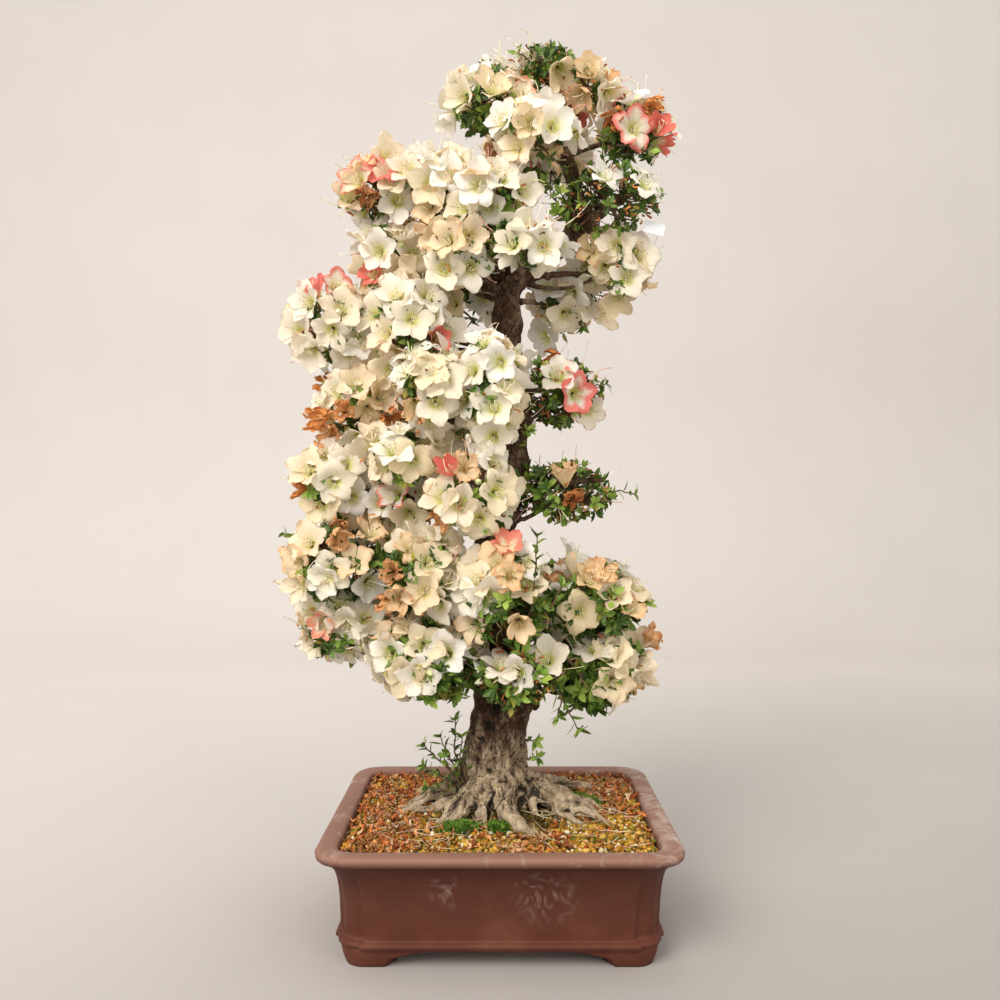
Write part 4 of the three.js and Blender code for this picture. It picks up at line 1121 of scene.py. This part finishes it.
vein_relief = bumpy(tree, vein, 0.45, 0.0008)
soft_relief = bumpy(tree, mottle, 0.25, 0.0008, vein_relief)
sheen = ranged(tree, age, 0.2, 0.9, 0.5, 0.78)
shader = shaded(tree, colour, sheen, soft_relief, specular=0.3)
through = add(tree, "BsdfTranslucent", {"Color": colour, "Normal": soft_relief})
finish(tree, add(tree, "MixShader", {0: 0.3, 1: shader, 2: through}))

# Azalea leaf: leathery and glossy on top, deep green, yellow-green when young, with a sunken midrib.
leaf_green, tree, where = start_material("azalea_leaf_living")
across = carried(tree, "blade")[1]
young, yellow, shade = carried(tree, "mood")
mottle = cloudy(tree, where, 300.0, 3.0)
# the carried shade is each leaf's own tone, dimmed with painted shade on the inner leaves
old_green = ramp(tree, shade, (0.0, "#2B4418"), (0.4, "#46651F"), (0.7, "#66852E"), (1.0, "#869E42"))
new_green = ramp(tree, shade, (0.0, "#7A9F38"), (1.0, "#AFC65A"))
green = mixed(tree, young, old_green, new_green)
turned = mixed(tree, yellow, green, "#B9A548")
middle = worked(tree, "ADD", across, -0.5)
to_side = worked(tree, "ABSOLUTE", middle)
midrib = ranged(tree, to_side, 0.0, 0.09, 0.45, 0.0)
ribbed = mixed(tree, midrib, turned, "#A9C070")
vary = ranged(tree, mottle, 0.3, 0.7, 0.82, 1.15)
colour = tinted(tree, ribbed, vary)
gloss = ranged(tree, mottle, 0.3, 0.7, 0.42, 0.58)
relief = bumpy(tree, mottle, 0.3, 0.0005)
shader = shaded(tree, colour, gloss, relief, specular=0.38)
through = add(tree, "BsdfTranslucent", {"Color": colour})
finish(tree, add(tree, "MixShader", {0: 0.18, 1: shader, 2: through}))

# Filament and style: slender, moist and near white, their anthers dark; the tint is carried per part.
filament = plain_material("azalea_stamen_living", 800.0, 2.0, (0.3, 0.7, 0.85, 1.1), 0.45, (0.2, 0.0002))

# Young twig: thin smooth brown bark, green-brown near the tips.
twig_bark = plain_material("azalea_twig_bark", 500.0, 4.0,
                           ((0.3, "#3A2A1E"), (0.55, "#6A5138"), (0.75, "#7F7346")), 0.75, (0.5, 0.0005))


def unit(vectors):
    """Vectors scaled to a length of 1."""
    return vectors / (np.linalg.norm(vectors, axis=-1, keepdims=True) + 1e-9)


def facing(direction, spin):
    """A rotation whose third axis is the direction and whose second points as far up as it can."""
    upward = np.array([0.0, 0.08, 1.0]) if abs(direction[2]) < 0.97 else np.array([0.0, 1.0, 0.1])
    third = unit(np.asarray(direction, float))
    second = unit(upward - third * (upward @ third))
    first = np.cross(second, third)
    turned_first = first * math.cos(spin) + second * math.sin(spin)
    turned_second = second * math.cos(spin) - first * math.sin(spin)
    return np.column_stack([turned_first, turned_second, third])


def blossom(rng, radius, age, opened):
    """One flower's points round its throat, lobe by lobe, its face towards +Z and upper lobe at +Y."""
    limp = rng.uniform(0.75, 1.0) * min(1.0, max(0.0, (age - 0.55) / 0.35))
    twist = rng.choice([-1, 1]) * rng.uniform(0.3, 1.2) * limp
    cup = rng.uniform(-1, 9) if rng.uniform() < 0.55 else rng.uniform(-2, 2)
    lobes = []
    for number in range(5):
        length = radius * rng.uniform(0.92, 1.08) * (1.06 if number == 0 else 1.0)
        start = math.pi / 2 + number * 2 * math.pi / 5 + rng.normal(0, 0.06)
        out = 1.8 + (length - 1.8) * ALONG ** 1.1
        outline = np.sqrt(1 - (np.maximum(ALONG - 0.6, 0) / 0.44) ** 4)
        half = np.minimum(0.7 * out, length * rng.uniform(0.41, 0.5) * outline)
        angle = start + ACROSS * half / np.maximum(out, 1) * (1 - 0.35 * limp)
        out = out - 0.17 * length * ACROSS ** 2 * ALONG ** 4
        out = out - 0.05 * length * np.exp(-(ACROSS / 0.28) ** 2) * ALONG ** 8
        rise = -TUBE_DEPTH * (1 - ALONG) ** 2.2 + 2.2 * ACROSS * ALONG + cup * ALONG ** 2
        rise = rise + rng.uniform(-1.5, 2.5) * ACROSS ** 2 * ALONG + rng.normal(0, 2.4) * ALONG ** 1.5
        rise = rise - 1.1 * np.exp(-(ACROSS / 0.22) ** 2) * ALONG * (1.25 - ALONG)
        wave = rng.uniform(0.6, 1.8) * ALONG ** 2 * np.abs(ACROSS) ** 2
        rise = rise + wave * np.sin(2 * math.pi * (ALONG * rng.uniform(1.0, 1.9) + rng.uniform()) + ACROSS)
        frill = rng.uniform(0.3, 1.2) * ALONG ** 5
        rise = rise + frill * np.sin(2 * math.pi * (ACROSS * rng.uniform(0.6, 1.3) + rng.uniform()))
        bend = np.clip((ALONG - 0.5) / 0.5, 0, 1) ** 2
        rise = rise - rng.uniform(-1.0, 6.0) * bend * opened + (1 - opened) * 16 * ALONG ** 1.5
        out = out * (1 - 0.55 * (1 - opened) * ALONG) * (1 - 0.6 * limp * ALONG ** 0.8)
        out = out * (1 - 0.012 * cup * ALONG)
        rise = rise + limp * ALONG * rng.uniform(4, 19)
        phase = rng.uniform(0, 2 * math.pi, 3)
        out = out + limp * ALONG * 3.6 * np.sin(4.6 * ACROSS + 7 * ALONG + phase[0])
        rise = rise + limp * ALONG * 3.8 * np.sin(4.2 * ACROSS - 9 * ALONG + phase[1])
        angle = angle + twist * ALONG + limp * 0.35 * np.sin(4 * ACROSS + 7 * ALONG + phase[2])
        lobes.append(np.stack([out * np.cos(angle), out * np.sin(angle), rise], -1).reshape(-1, 3))
    return np.concatenate(lobes)


FLOWER_FACES = np.concatenate([PETAL_FACES + PETAL_POINTS * number for number in range(5)])
LOBE_COLOURS = np.concatenate([
    np.stack([ALONG, ACROSS * 0.5 + 0.5, np.full_like(ALONG, (1.0, 0.45, 0.0, 0.0, 0.45)[number])], -1)
    .reshape(-1, 3) for number in range(5)])


def leaf_blade(rng):
    """A small elliptic leaf 1 long, folded along its midrib and arched."""
    across, along = np.meshgrid(np.linspace(-1, 1, LEAF_COLUMNS), np.linspace(0, 1, LEAF_ROWS))
    width = 0.22 * np.sin(math.pi * along ** 0.85) ** 0.75 + 0.012
    arch = rng.uniform(-0.08, 0.3)
    x = across * width * rng.uniform(0.85, 1.15)
    y = along - arch * 0.4 * along ** 3
    z = np.abs(across) * width * rng.uniform(0.1, 0.45) - arch * along ** 2
    return np.stack([x, y, z], -1).reshape(-1, 3), grid_faces(LEAF_ROWS, LEAF_COLUMNS)


def pads_holding(points, shrink, but=""):
    """How many pads, other than the named one and shrunk a little, each point lies within."""
    return sum((((points - middle) / (np.array(reach) * shrink)) ** 2).sum(1) < 1
               for name, middle, reach, *_ in PADS if name != but)


def spread_over(middle, reach, count, rng):
    """Directions spread evenly over a pad, with the points on its surface."""
    turn = np.arange(count) * GOLDEN_ANGLE + rng.uniform(0, 6)
    height = 1 - 2 * (np.arange(count) + 0.5) / count
    flat = np.sqrt(1 - height ** 2)
    ways = np.column_stack([flat * np.cos(turn), flat * np.sin(turn), height])
    ways = unit(ways + rng.normal(0, 0.05, ways.shape))
    return ways, np.array(middle) + ways * reach


def leafy_places(points, margin=1.0):
    """True for points in front where leaves stand clear of the flowers."""
    held = np.zeros(len(points), bool)
    for x, z, across, up in LEAFY:
        held |= ((points[:, 0] - x) / across) ** 2 + ((points[:, 2] - z) / up) ** 2 < margin ** 2
    return held & (points[:, 1] < 12)


def leaves_round(spots, ways, depths, rng, lengths, young_share, counts=(5, 9)):
    """Whorls of leaves round the spots' own directions, older inside and darker there with painted shade,
    as places, matrices and moods."""
    number = rng.integers(*counts, len(spots))
    owner = np.repeat(np.arange(len(spots)), number)
    order = np.concatenate([np.arange(n) for n in number])
    spins = rng.uniform(0, 6.28, len(ways))
    frames = np.array([facing(way, spin) for way, spin in zip(ways, spins)])[owner]
    turn = (order * GOLDEN_ANGLE + rng.uniform(-0.35, 0.35, len(owner)))[:, None]
    side = frames[:, :, 0] * np.cos(turn) + frames[:, :, 1] * np.sin(turn)
    opening = rng.uniform(0.45, 1.4, (len(owner), 1))
    along = frames[:, :, 2] * np.cos(opening) + side * np.sin(opening)
    normal = frames[:, :, 2] * np.sin(opening) - side * np.cos(opening)
    size = rng.uniform(*lengths, (len(owner), 1, 1))
    matrices = np.stack([np.cross(along, normal), along, normal], -1) * size
    young = np.where(rng.uniform(0, 1, len(spots)) < young_share, rng.uniform(0.4, 1, len(spots)), 0)
    young = (young * (depths > 0.9))[owner]
    yellow = np.where(rng.uniform(0, 1, len(owner)) < 0.06, rng.uniform(0.4, 0.9, len(owner)), 0)
    # painted shade: leaves in the inner layers get a darker green
    shade = rng.uniform(0, 1, len(owner)) * np.where(depths[owner] > 0.9, 1.0, 0.55)
    return spots[owner] + along * 0.8, matrices, np.column_stack([young, yellow, shade])


def leafy_piece(name, at, matrices, mood, rng, replaced):
    """The leaves as one piece."""
    points, faces, owner = scattered(BLADES, rng.integers(0, len(BLADES), len(at)), matrices, at)
    repeats = len(points) // (LEAF_ROWS * LEAF_COLUMNS)
    blade = np.column_stack([np.tile(np.repeat(np.linspace(0, 1, LEAF_ROWS), LEAF_COLUMNS), repeats),
                             np.tile(np.linspace(0, 1, LEAF_COLUMNS), LEAF_ROWS * repeats),
                             mood[owner, 2]])
    make_piece(name, place(points), faces, leaf_green, replaced,
               layers={"blade": blade, "mood": mood[owner]})


def bud_shape():
    """A furled bud about 1 long, its petals wrapped in a spiral."""
    rows = []
    for height, width in zip(np.linspace(0, 1, 7), (0.14, 0.24, 0.31, 0.3, 0.23, 0.13, 0.02)):
        turn = np.linspace(0, 2 * math.pi, 11)[:-1] + height * 1.2
        rows.append(np.column_stack([np.cos(turn), np.sin(turn), np.zeros(10)])
                    * (width * (1 + 0.09 * np.cos(5 * turn - 6 * height)))[:, None] + [0, 0, height])
    return split(*skin_rings(rows))


BLADES = [leaf_blade(np.random.default_rng(50 + number)) for number in range(8)]
BUD = bud_shape()
ANTHER = split(*lump(np.random.default_rng(3), 0.0))

# Where every flower stands: first those that stand out on the front, then the rest, closest together on
# the front and top of each pad.
rng = np.random.default_rng(77)
flowers = {name: [] for name, *_ in PADS}
standing = []
for row in FRONT_BLOSSOMS:
    x, y, z, age, coral, opened = (*row, 0, 1)[:6]
    spot = np.array([x, y, z], float)
    gaps = [np.linalg.norm((spot - middle) / reach) for _, middle, reach, *_ in PADS]
    name, middle, reach, *_ = PADS[int(np.argmin(gaps))]
    normal = unit((spot - middle) / np.array(reach) ** 2 * 1000)
    way = unit(normal * 0.75 + [0, -0.6, 0.08] + rng.normal(0, 0.26, 3))
    flowers[name].append({"spot": spot, "way": way, "age": age, "coral": coral, "opened": opened,
                          "size": 0.85 if coral > 0.8 else 1.0})
    standing.append(spot)
for pad_number, (name, middle, reach, ageing, gone, blushing) in enumerate(PADS):
    rng = np.random.default_rng(1000 + pad_number)
    reach = np.array(reach, float)
    leafy = name.startswith("leaves")
    ways, spots = spread_over(middle, reach - 4, 420, rng)
    usable = (pads_holding(spots, 0.93, name) == 0) & (ways[:, 2] > -0.72) & ~leafy_places(spots, 1.3)
    eager = rng.uniform(0, 0.6, len(ways)) - 0.5 * ways[:, 1] + 0.25 * ways[:, 2]
    limit = 0 if name == "leaves_base_shoots" else 2 if leafy else 90
    for index in np.argsort(-eager):
        gap = FLOWER_SPACING * (1.15 if ways[index, 2] < -0.3 else 1.0)
        if not limit or not usable[index]:
            continue
        if min(np.sum((np.array(standing) - spots[index]) ** 2, axis=1)) < gap ** 2:
            continue
        limit -= 1
        standing.append(spots[index])
        fate = rng.uniform()
        age = rng.uniform(0.0, 0.32)
        if fate < gone:
            age = rng.uniform(0.82, 1.0)
        elif fate < gone + 1.25 * ageing:
            age = rng.uniform(0.35, 0.7)
        way = unit(unit(ways[index] / reach) + rng.normal(0, 0.4, 3) + [0, -0.1, 0.0])
        coral = rng.uniform(0.35, 0.9) if rng.uniform() < blushing else rng.uniform(0, 0.12)
        opened = 1.0 if rng.uniform() < 0.85 else rng.uniform(0.45, 0.85)
        spot = spots[index] + ways[index] * rng.uniform(-8, 3)
        flowers[name].append({"spot": spot, "way": way, "age": age, "coral": coral, "opened": opened,
                              "size": rng.uniform(0.84, 1.06)})

all_spots = np.array([flower["spot"] for group in flowers.values() for flower in group])
all_ways = np.array([flower["way"] for group in flowers.values() for flower in group])
# the space that the long bare pistils keep within
air_low = np.array(cad_low) / MM - [POT_X / MM + 11, POT_Y / MM + 11, 0]
air_high = np.array(cad_high) / MM - [POT_X / MM - 11, POT_Y / MM - 11, -12]

for pad_number, (name, middle, reach, ageing, gone, blushing) in enumerate(PADS):
    if name == "leaves_base_shoots":
        continue
    rng = np.random.default_rng(2000 + pad_number)
    middle, reach = np.array(middle, float), np.array(reach, float)
    leafy = name.startswith("leaves")
    short = name.split("_", 1)[1]
    petals, moods, ends, paths, shades, anthers, anther_turns = [], [], [], [], [], [], []
    whiskers, whisker_shades = [], []
    share = np.linspace(0, 1, STEM_STEPS)[:, None]

    # Blossoms, each with five stamens and a longer style that sag and then turn up.
    for flower in flowers[name]:
        way, spot, age = flower["way"], flower["spot"], flower["age"]
        if age > WITHERED:
            way = unit(way * [1, 1, 0.4] + [0, 0, -rng.uniform(0.0, 0.9)])
        turn = facing(way, rng.normal(0, 0.3))
        radius = FLOWER_RADIUS * flower["size"] * rng.uniform(0.95, 1.06)
        petals.append(blossom(rng, radius, age, flower["opened"]) @ turn.T + spot)
        moods.append(np.tile([age, flower["coral"], rng.uniform()], (FLOWER_POINTS, 1)))
        ends.append(spot - way * TUBE_DEPTH)
        for number in range(STAMENS + 1):
            style = number == STAMENS
            round_about = number * 2.5 + rng.uniform(-0.4, 0.4)
            tip = np.array([math.cos(round_about), math.sin(round_about), 0]) * rng.uniform(1.5, 5.5)
            tip += [0, rng.uniform(-2, 2.5), rng.uniform(1, 5) + 7 * style]
            path = np.array([0, 0, 1 - TUBE_DEPTH]) * (1 - share) + tip * share
            path[:, 1] -= 3.2 * np.sin(share[:, 0] * math.pi) * rng.uniform(0.5, 1.2)
            if age > WITHERED:
                path[:, 1] -= 6 * share[:, 0] ** 2
            paths.append(path @ turn.T + spot)
            shades.append(linear("#C9A06A" if age > 0.7 else "#E4E2B2" if style else "#F3ECD2")[:3])
            anthers.append(paths[-1][-1])
            anther_turns.append(turn * ([1.1, 1.1, 1.7] if not style else [1.2, 1.2, 1.0]))

    # Styles left on the twigs after their flowers have dropped, spent stalks, and a few buds.
    ways, spots = spread_over(middle, reach - 10, 90, rng)
    free = np.flatnonzero((pads_holding(spots, 0.93, name) == 0) & (ways[:, 2] > -0.7))
    free = rng.permutation(free)
    for index in free[:16 if leafy or middle[2] > 780 else 10]:
        way = unit(ways[index] + rng.normal(0, 0.5, 3) + [0.1, -0.1, 0.3])
        side = unit(np.cross(way, rng.normal(0, 1, 3))) + [0, 0, 0.5]
        path = spots[index] - way * 8 + way * share * rng.uniform(26, 44)
        path = path + side * rng.uniform(6, 20) * np.sin(share * rng.uniform(1.2, 2.6)) - side * 6 * share
        whiskers.append(np.clip(path, air_low, air_high))
        whisker_shades.append(linear(WHISKER_COLOURS[rng.integers(0, 4)])[:3])
        anthers.append(whiskers[-1][-1])
        anther_turns.append(np.eye(3) * 1.2)
    stalk_paths, stalk_shades = [], []
    for index in rng.integers(0, len(ways), 80 if leafy else 16):
        way = unit(ways[index] + rng.normal(0, 0.6, 3))
        at = middle + ways[index] * reach * rng.uniform(0.8, 1.0) - ways[index] * 4
        bent = rng.normal(0, 1.6, 3)
        stalk_paths.append(at + way * share * rng.uniform(4, 9) + bent * np.sin(share * 3))
        stalk_shades.append(linear(STALK_COLOURS[rng.integers(0, 4)])[:3])
    buds = [spots[index] for index in free[16:17]]
    bud_ways = [unit(ways[index] + rng.normal(0, 0.3, 3)) for index in free[16:17]]
    ends += buds

    # Leaves: whorls at the twig tips between the flowers, kept clear of their faces, and more behind.
    leaf_spots, leaf_ways, leaf_depths = [], [], []
    layers = ((1.0, 10.5), (0.78, 14.0), (0.5, 19.0)) if leafy else (
        (1.0, 12.0), (0.93, 14.0), (0.76, 17.0), (0.52, 21.0))
    for depth, gap in layers:
        ways, spots = spread_over(middle, (reach - 6) * depth, 520, rng)
        spots = spots + rng.normal(0, 2.8, spots.shape)
        away = spots[:, None] - all_spots[None]
        forward = np.einsum("nmk,mk->nm", away, all_ways)
        aside = np.sqrt(np.maximum((away ** 2).sum(2) - forward ** 2, 0))
        blocked = ((forward > -7) & (forward < 40) & (aside < 18)) | ((forward > -22) & (aside < 10))
        keep = ~blocked.any(1) & (pads_holding(spots, 0.8, name) == 0)
        if not leafy and depth == 1.0:
            keep &= leafy_places(spots, 1.1)
        if leafy and depth > 0.7:
            keep &= np.array([noise.noise(Vector(p) / 17) > -0.2 for p in spots])
        placed = np.empty((0, 3))
        for index in rng.permutation(np.flatnonzero(keep)):
            if not len(placed) or ((placed - spots[index]) ** 2).sum(1).min() > gap ** 2:
                placed = np.vstack([placed, spots[index]])
                leaf_ways.append(unit(ways[index] + rng.normal(0, 0.35, 3) + [0, 0, 0.3]))
                leaf_depths.append(depth)
        leaf_spots.append(placed)
    leaf_spots, leaf_ways = np.vstack(leaf_spots), np.array(leaf_ways)
    lengths = (8, 14) if middle[2] > 430 else (10, 18)
    at, matrices, mood = leaves_round(leaf_spots, leaf_ways, np.array(leaf_depths), rng, lengths,
                                      0.32 if leafy else 0.2)
    leafy_piece("foliage_" + short, at, matrices, mood, rng, [name] if leafy else [])

    # Twigs, forking from the branch's tip to every flower and whorl.
    heart = middle - [0, 0, reach[2] * 0.25]
    ends = np.vstack([leaf_spots] + ([np.array(ends)] if ends else []))
    forks = heart + (ends[rng.permutation(len(ends))[:8]] - heart) * rng.uniform(0.35, 0.6, (8, 1))
    nearest = np.argmin(((ends[:, None] - forks[None]) ** 2).sum(2), 1)
    starts = np.vstack([np.repeat(heart[None], len(forks), 0), forks[nearest]])
    stops = np.vstack([forks, ends])
    span = np.linspace(0, 1, 5)[None, :, None]
    bow = rng.normal(0, 2.4, (len(starts), 1, 3)) * np.sin(span * math.pi)
    twig_paths = starts[:, None] * (1 - span) + stops[:, None] * span + bow
    inner = (np.arange(len(starts)) < len(forks))[:, None]
    radii = np.where(inner, [[2.5, 2.2, 1.9, 1.7, 1.4]], [[1.3, 1.1, 1.0, 0.85, 0.7]])
    twig_points, twig_faces, _ = tubes(twig_paths, radii, 5)
    make_piece("twigs_" + short, place(twig_points), twig_faces, twig_bark)

    if petals:
        faces = FLOWER_FACES[None] + (np.arange(len(petals)) * FLOWER_POINTS)[:, None, None]
        make_piece("petals_" + short, place(np.concatenate(petals)), faces.reshape(-1, 4), petal,
                   [] if leafy else [name],
                   layers={"petal": np.tile(LOBE_COLOURS, (len(petals), 1)),
                           "mood": np.concatenate(moods)})
    groups = [tubes(np.array(whiskers), np.linspace(0.52, 0.4, STEM_STEPS)),
              tubes(np.array(stalk_paths), np.linspace(0.7, 1.3, STEM_STEPS)),
              scattered([ANTHER], np.zeros(len(anthers), int), np.array(anther_turns), np.array(anthers))]
    tints = [np.array(whisker_shades), np.array(stalk_shades),
             np.tile(linear("#A3713F")[:3], (len(anthers), 1))]
    if paths:
        groups.append(tubes(np.array(paths), 0.4))
        tints.append(np.array(shades))
    if buds:
        turns_of_buds = np.array([facing(way, 0) * rng.uniform(10, 15) for way in bud_ways])
        groups.append(scattered([BUD], np.zeros(len(buds), int), turns_of_buds, np.array(buds)))
        picks = rng.choice(3, len(buds), p=[0.55, 0.35, 0.1])
        tints.append(rgb(BUD_COLOURS)[picks])
    points, faces = join([(some, np.asarray(some_faces, dtype=object).tolist())
                          for some, some_faces, _ in groups])
    layer = np.vstack([tint[owner] for tint, (_, _, owner) in zip(tints, groups)])
    make_piece("stamens_" + short, place(points), faces, filament, layers={"shade": layer})


# Shoots: slender stems with leaves set alternately along them and a whorl at the tip; one group grows
# from the foot of the trunk.
def shoots(name, rows, replaced, seed):
    """Stems and their leaves as two pieces."""
    rng = np.random.default_rng(seed)
    stems, at, ways = [], [], []
    spots_all, matrices_all, mood_all = [], [], []
    for points, length in rows:
        points = np.array(points, float)
        path = eased(points, np.arange(len(points)), 9)
        path[1:-1] += rng.normal(0, 0.8, (7, 3))
        stems.append(path)
        span = np.linalg.norm(path[-1] - path[0])
        along = unit(path[-1] - path[0])
        count = max(3, int(span * 0.75 / (length * 0.36)))
        for number, place_on in enumerate(np.linspace(0.28, 0.97, count)):
            spot = along_path(path, np.arange(9), [place_on * 8])[0]
            side = facing(along, number * GOLDEN_ANGLE + rng.uniform(-0.4, 0.4))[:, 0]
            lift = rng.uniform(0.7, 1.2)
            leaf_way = unit(along * math.cos(lift) + side * math.sin(lift) + [0, -0.1, 0.1])
            normal = unit(along - leaf_way * (along @ leaf_way) + 1e-3)
            size = length * rng.uniform(0.7, 1.05)
            spots_all.append(spot + leaf_way * 0.6)
            matrices_all.append(np.column_stack([np.cross(leaf_way, normal), leaf_way, normal]) * size)
            mood_all.append([rng.uniform(0, 0.3), 0.0, rng.uniform()])
        at.append(path[-1])
        ways.append(along)
    lengths = (0.6 * rows[0][1], 0.95 * rows[0][1])
    tip_at, tip_turns, tip_mood = leaves_round(
        np.array(at), np.array(ways), np.ones(len(at)), rng, lengths, 0.8, (4, 7))
    spots = np.vstack([np.array(spots_all), tip_at])
    matrices = np.concatenate([np.array(matrices_all), tip_turns])
    mood = np.vstack([np.array(mood_all), tip_mood])
    leafy_piece(name + "_leaves", spots, matrices, mood, rng, replaced)
    points, faces, _ = tubes(np.array(stems), np.linspace(1.3, 0.7, 9), 6)
    make_piece(name + "_stems", place(points), faces, twig_bark)


shoots("base_shoots", [(points, 15) for points in BASE_SHOOTS], ["leaves_base_shoots"], 91)
shoots("crown_shoots", SHOOTS, [], 92)


# Plant tag: a small blank strip of white plastic, hung by its eye on the outer twigs.

# Extruded PVC: white with a cool cast, satin and a little scuffed.
tag_white = plain_material("pvc_tag_extruded", 400.0, 5.0,
                           ((0.3, "#E9ECF2"), (0.7, "#F8FAFD")), (0.35, 0.5), (0.1, 0.0002))
coat("plant_tag", tag_white)


# Studio: a pale seamless sweep under and behind the tree, lit by a large soft light from above left, a
# weak one from the right, a weak one overhead and an even sky.

FLOOR_FRONT, WALL_Y, WALL_TOP, SWEEP_HALF = -3.0, 2.6, 5.0, 5.0
# each light's place, width, watts and colour
LIGHTS = [("key", (-1.3, -1.9, 2.1), 1.8, 76.0, "#FFF9F2"),
          ("fill", (1.7, -1.9, 1.0), 1.8, 15.0, "#FFF6EA"),
          ("top", (0.0, 0.4, 2.6), 1.4, 12.0, "#FFFFFF")]
SKY, SKY_STRENGTH = "#FFFCF8", 0.85
CAMERA_Y, CAMERA_Z = -0.993, 0.462

# Backdrop paper: matte and warm white, with painted shade that darkens it near the front of the floor
# and low on the right.
paper, tree, where = start_material("paper_sweep_matte")
fibre = cloudy(tree, where, 3.0, 3.0)
tint = ramp(tree, fibre, (0.3, "#E0DAD5"), (0.7, "#E3DDD8"))
spread = add(tree, "SeparateXYZ", {0: where})
near = ranged(tree, spread.outputs[1], -0.9, 1.4, 0.6, 0.0)
aside = ranged(tree, spread, -0.8, 1.0, 0.9, 1.4)
floor_painted_shade = worked(tree, "MULTIPLY", near, aside)
below = ranged(tree, spread.outputs[2], 0.0, 2.2, 0.2, 0.0)
rightward = ranged(tree, spread, -1.8, 1.8, 0.3, 1.1)
painted_shade_share = worked(tree, "MULTIPLY_ADD", below, rightward, floor_painted_shade)
# painted shade: the paper greys towards the front of the floor and low down on the right
tint = mixed(tree, painted_shade_share, tint, "#6E6A68")
finish(tree, shaded(tree, tint, 0.95))
curve = [(FLOOR_FRONT, 0.0)]
curve += [(WALL_Y - 1.0 + math.sin(a), 1.0 - math.cos(a)) for a in np.linspace(0, math.pi / 2, 16)]
curve += [(WALL_Y, WALL_TOP)]
sweep_points = [(side, y, z) for y, z in curve for side in (-SWEEP_HALF, SWEEP_HALF)]
sweep_faces = [(2 * i, 2 * i + 1, 2 * i + 3, 2 * i + 2) for i in range(len(curve) - 1)]
sweep_mesh = bpy.data.meshes.new("sweep")
sweep_mesh.from_pydata(sweep_points, [], sweep_faces)
sweep_mesh.polygons.foreach_set("use_smooth", [True] * len(sweep_mesh.polygons))
sweep_mesh.materials.append(paper)
linked("sweep", sweep_mesh)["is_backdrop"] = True

for name, spot, size, power, tint in LIGHTS:
    light = bpy.data.lights.new(name, "AREA")
    light.shape = "DISK"
    light.size = size
    light.energy = power
    light.color = linear(tint)[:3]
    lamp = linked(name, light)
    lamp.location = spot
    lamp.rotation_euler = (Vector((POT_X, 0, 0.5)) - Vector(spot)).to_track_quat("-Z", "Y").to_euler()
    lamp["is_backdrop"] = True

world = bpy.data.worlds.new("studio")
world.use_nodes = True
world.node_tree.nodes["Background"].inputs[0].default_value = linear(SKY)
world.node_tree.nodes["Background"].inputs[1].default_value = SKY_STRENGTH
bpy.context.scene.world = world
bpy.context.scene.view_settings.view_transform = "Standard"

lens = bpy.data.cameras.new("camera")
lens.lens = 31.5
lens.sensor_width = 36.0
lens.shift_y = 0.003
camera = linked("camera", lens)
camera.location = (POT_X, CAMERA_Y, CAMERA_Z)
camera.rotation_euler = (math.radians(90), 0, 0)
bpy.context.scene.camera = camera

low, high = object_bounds()
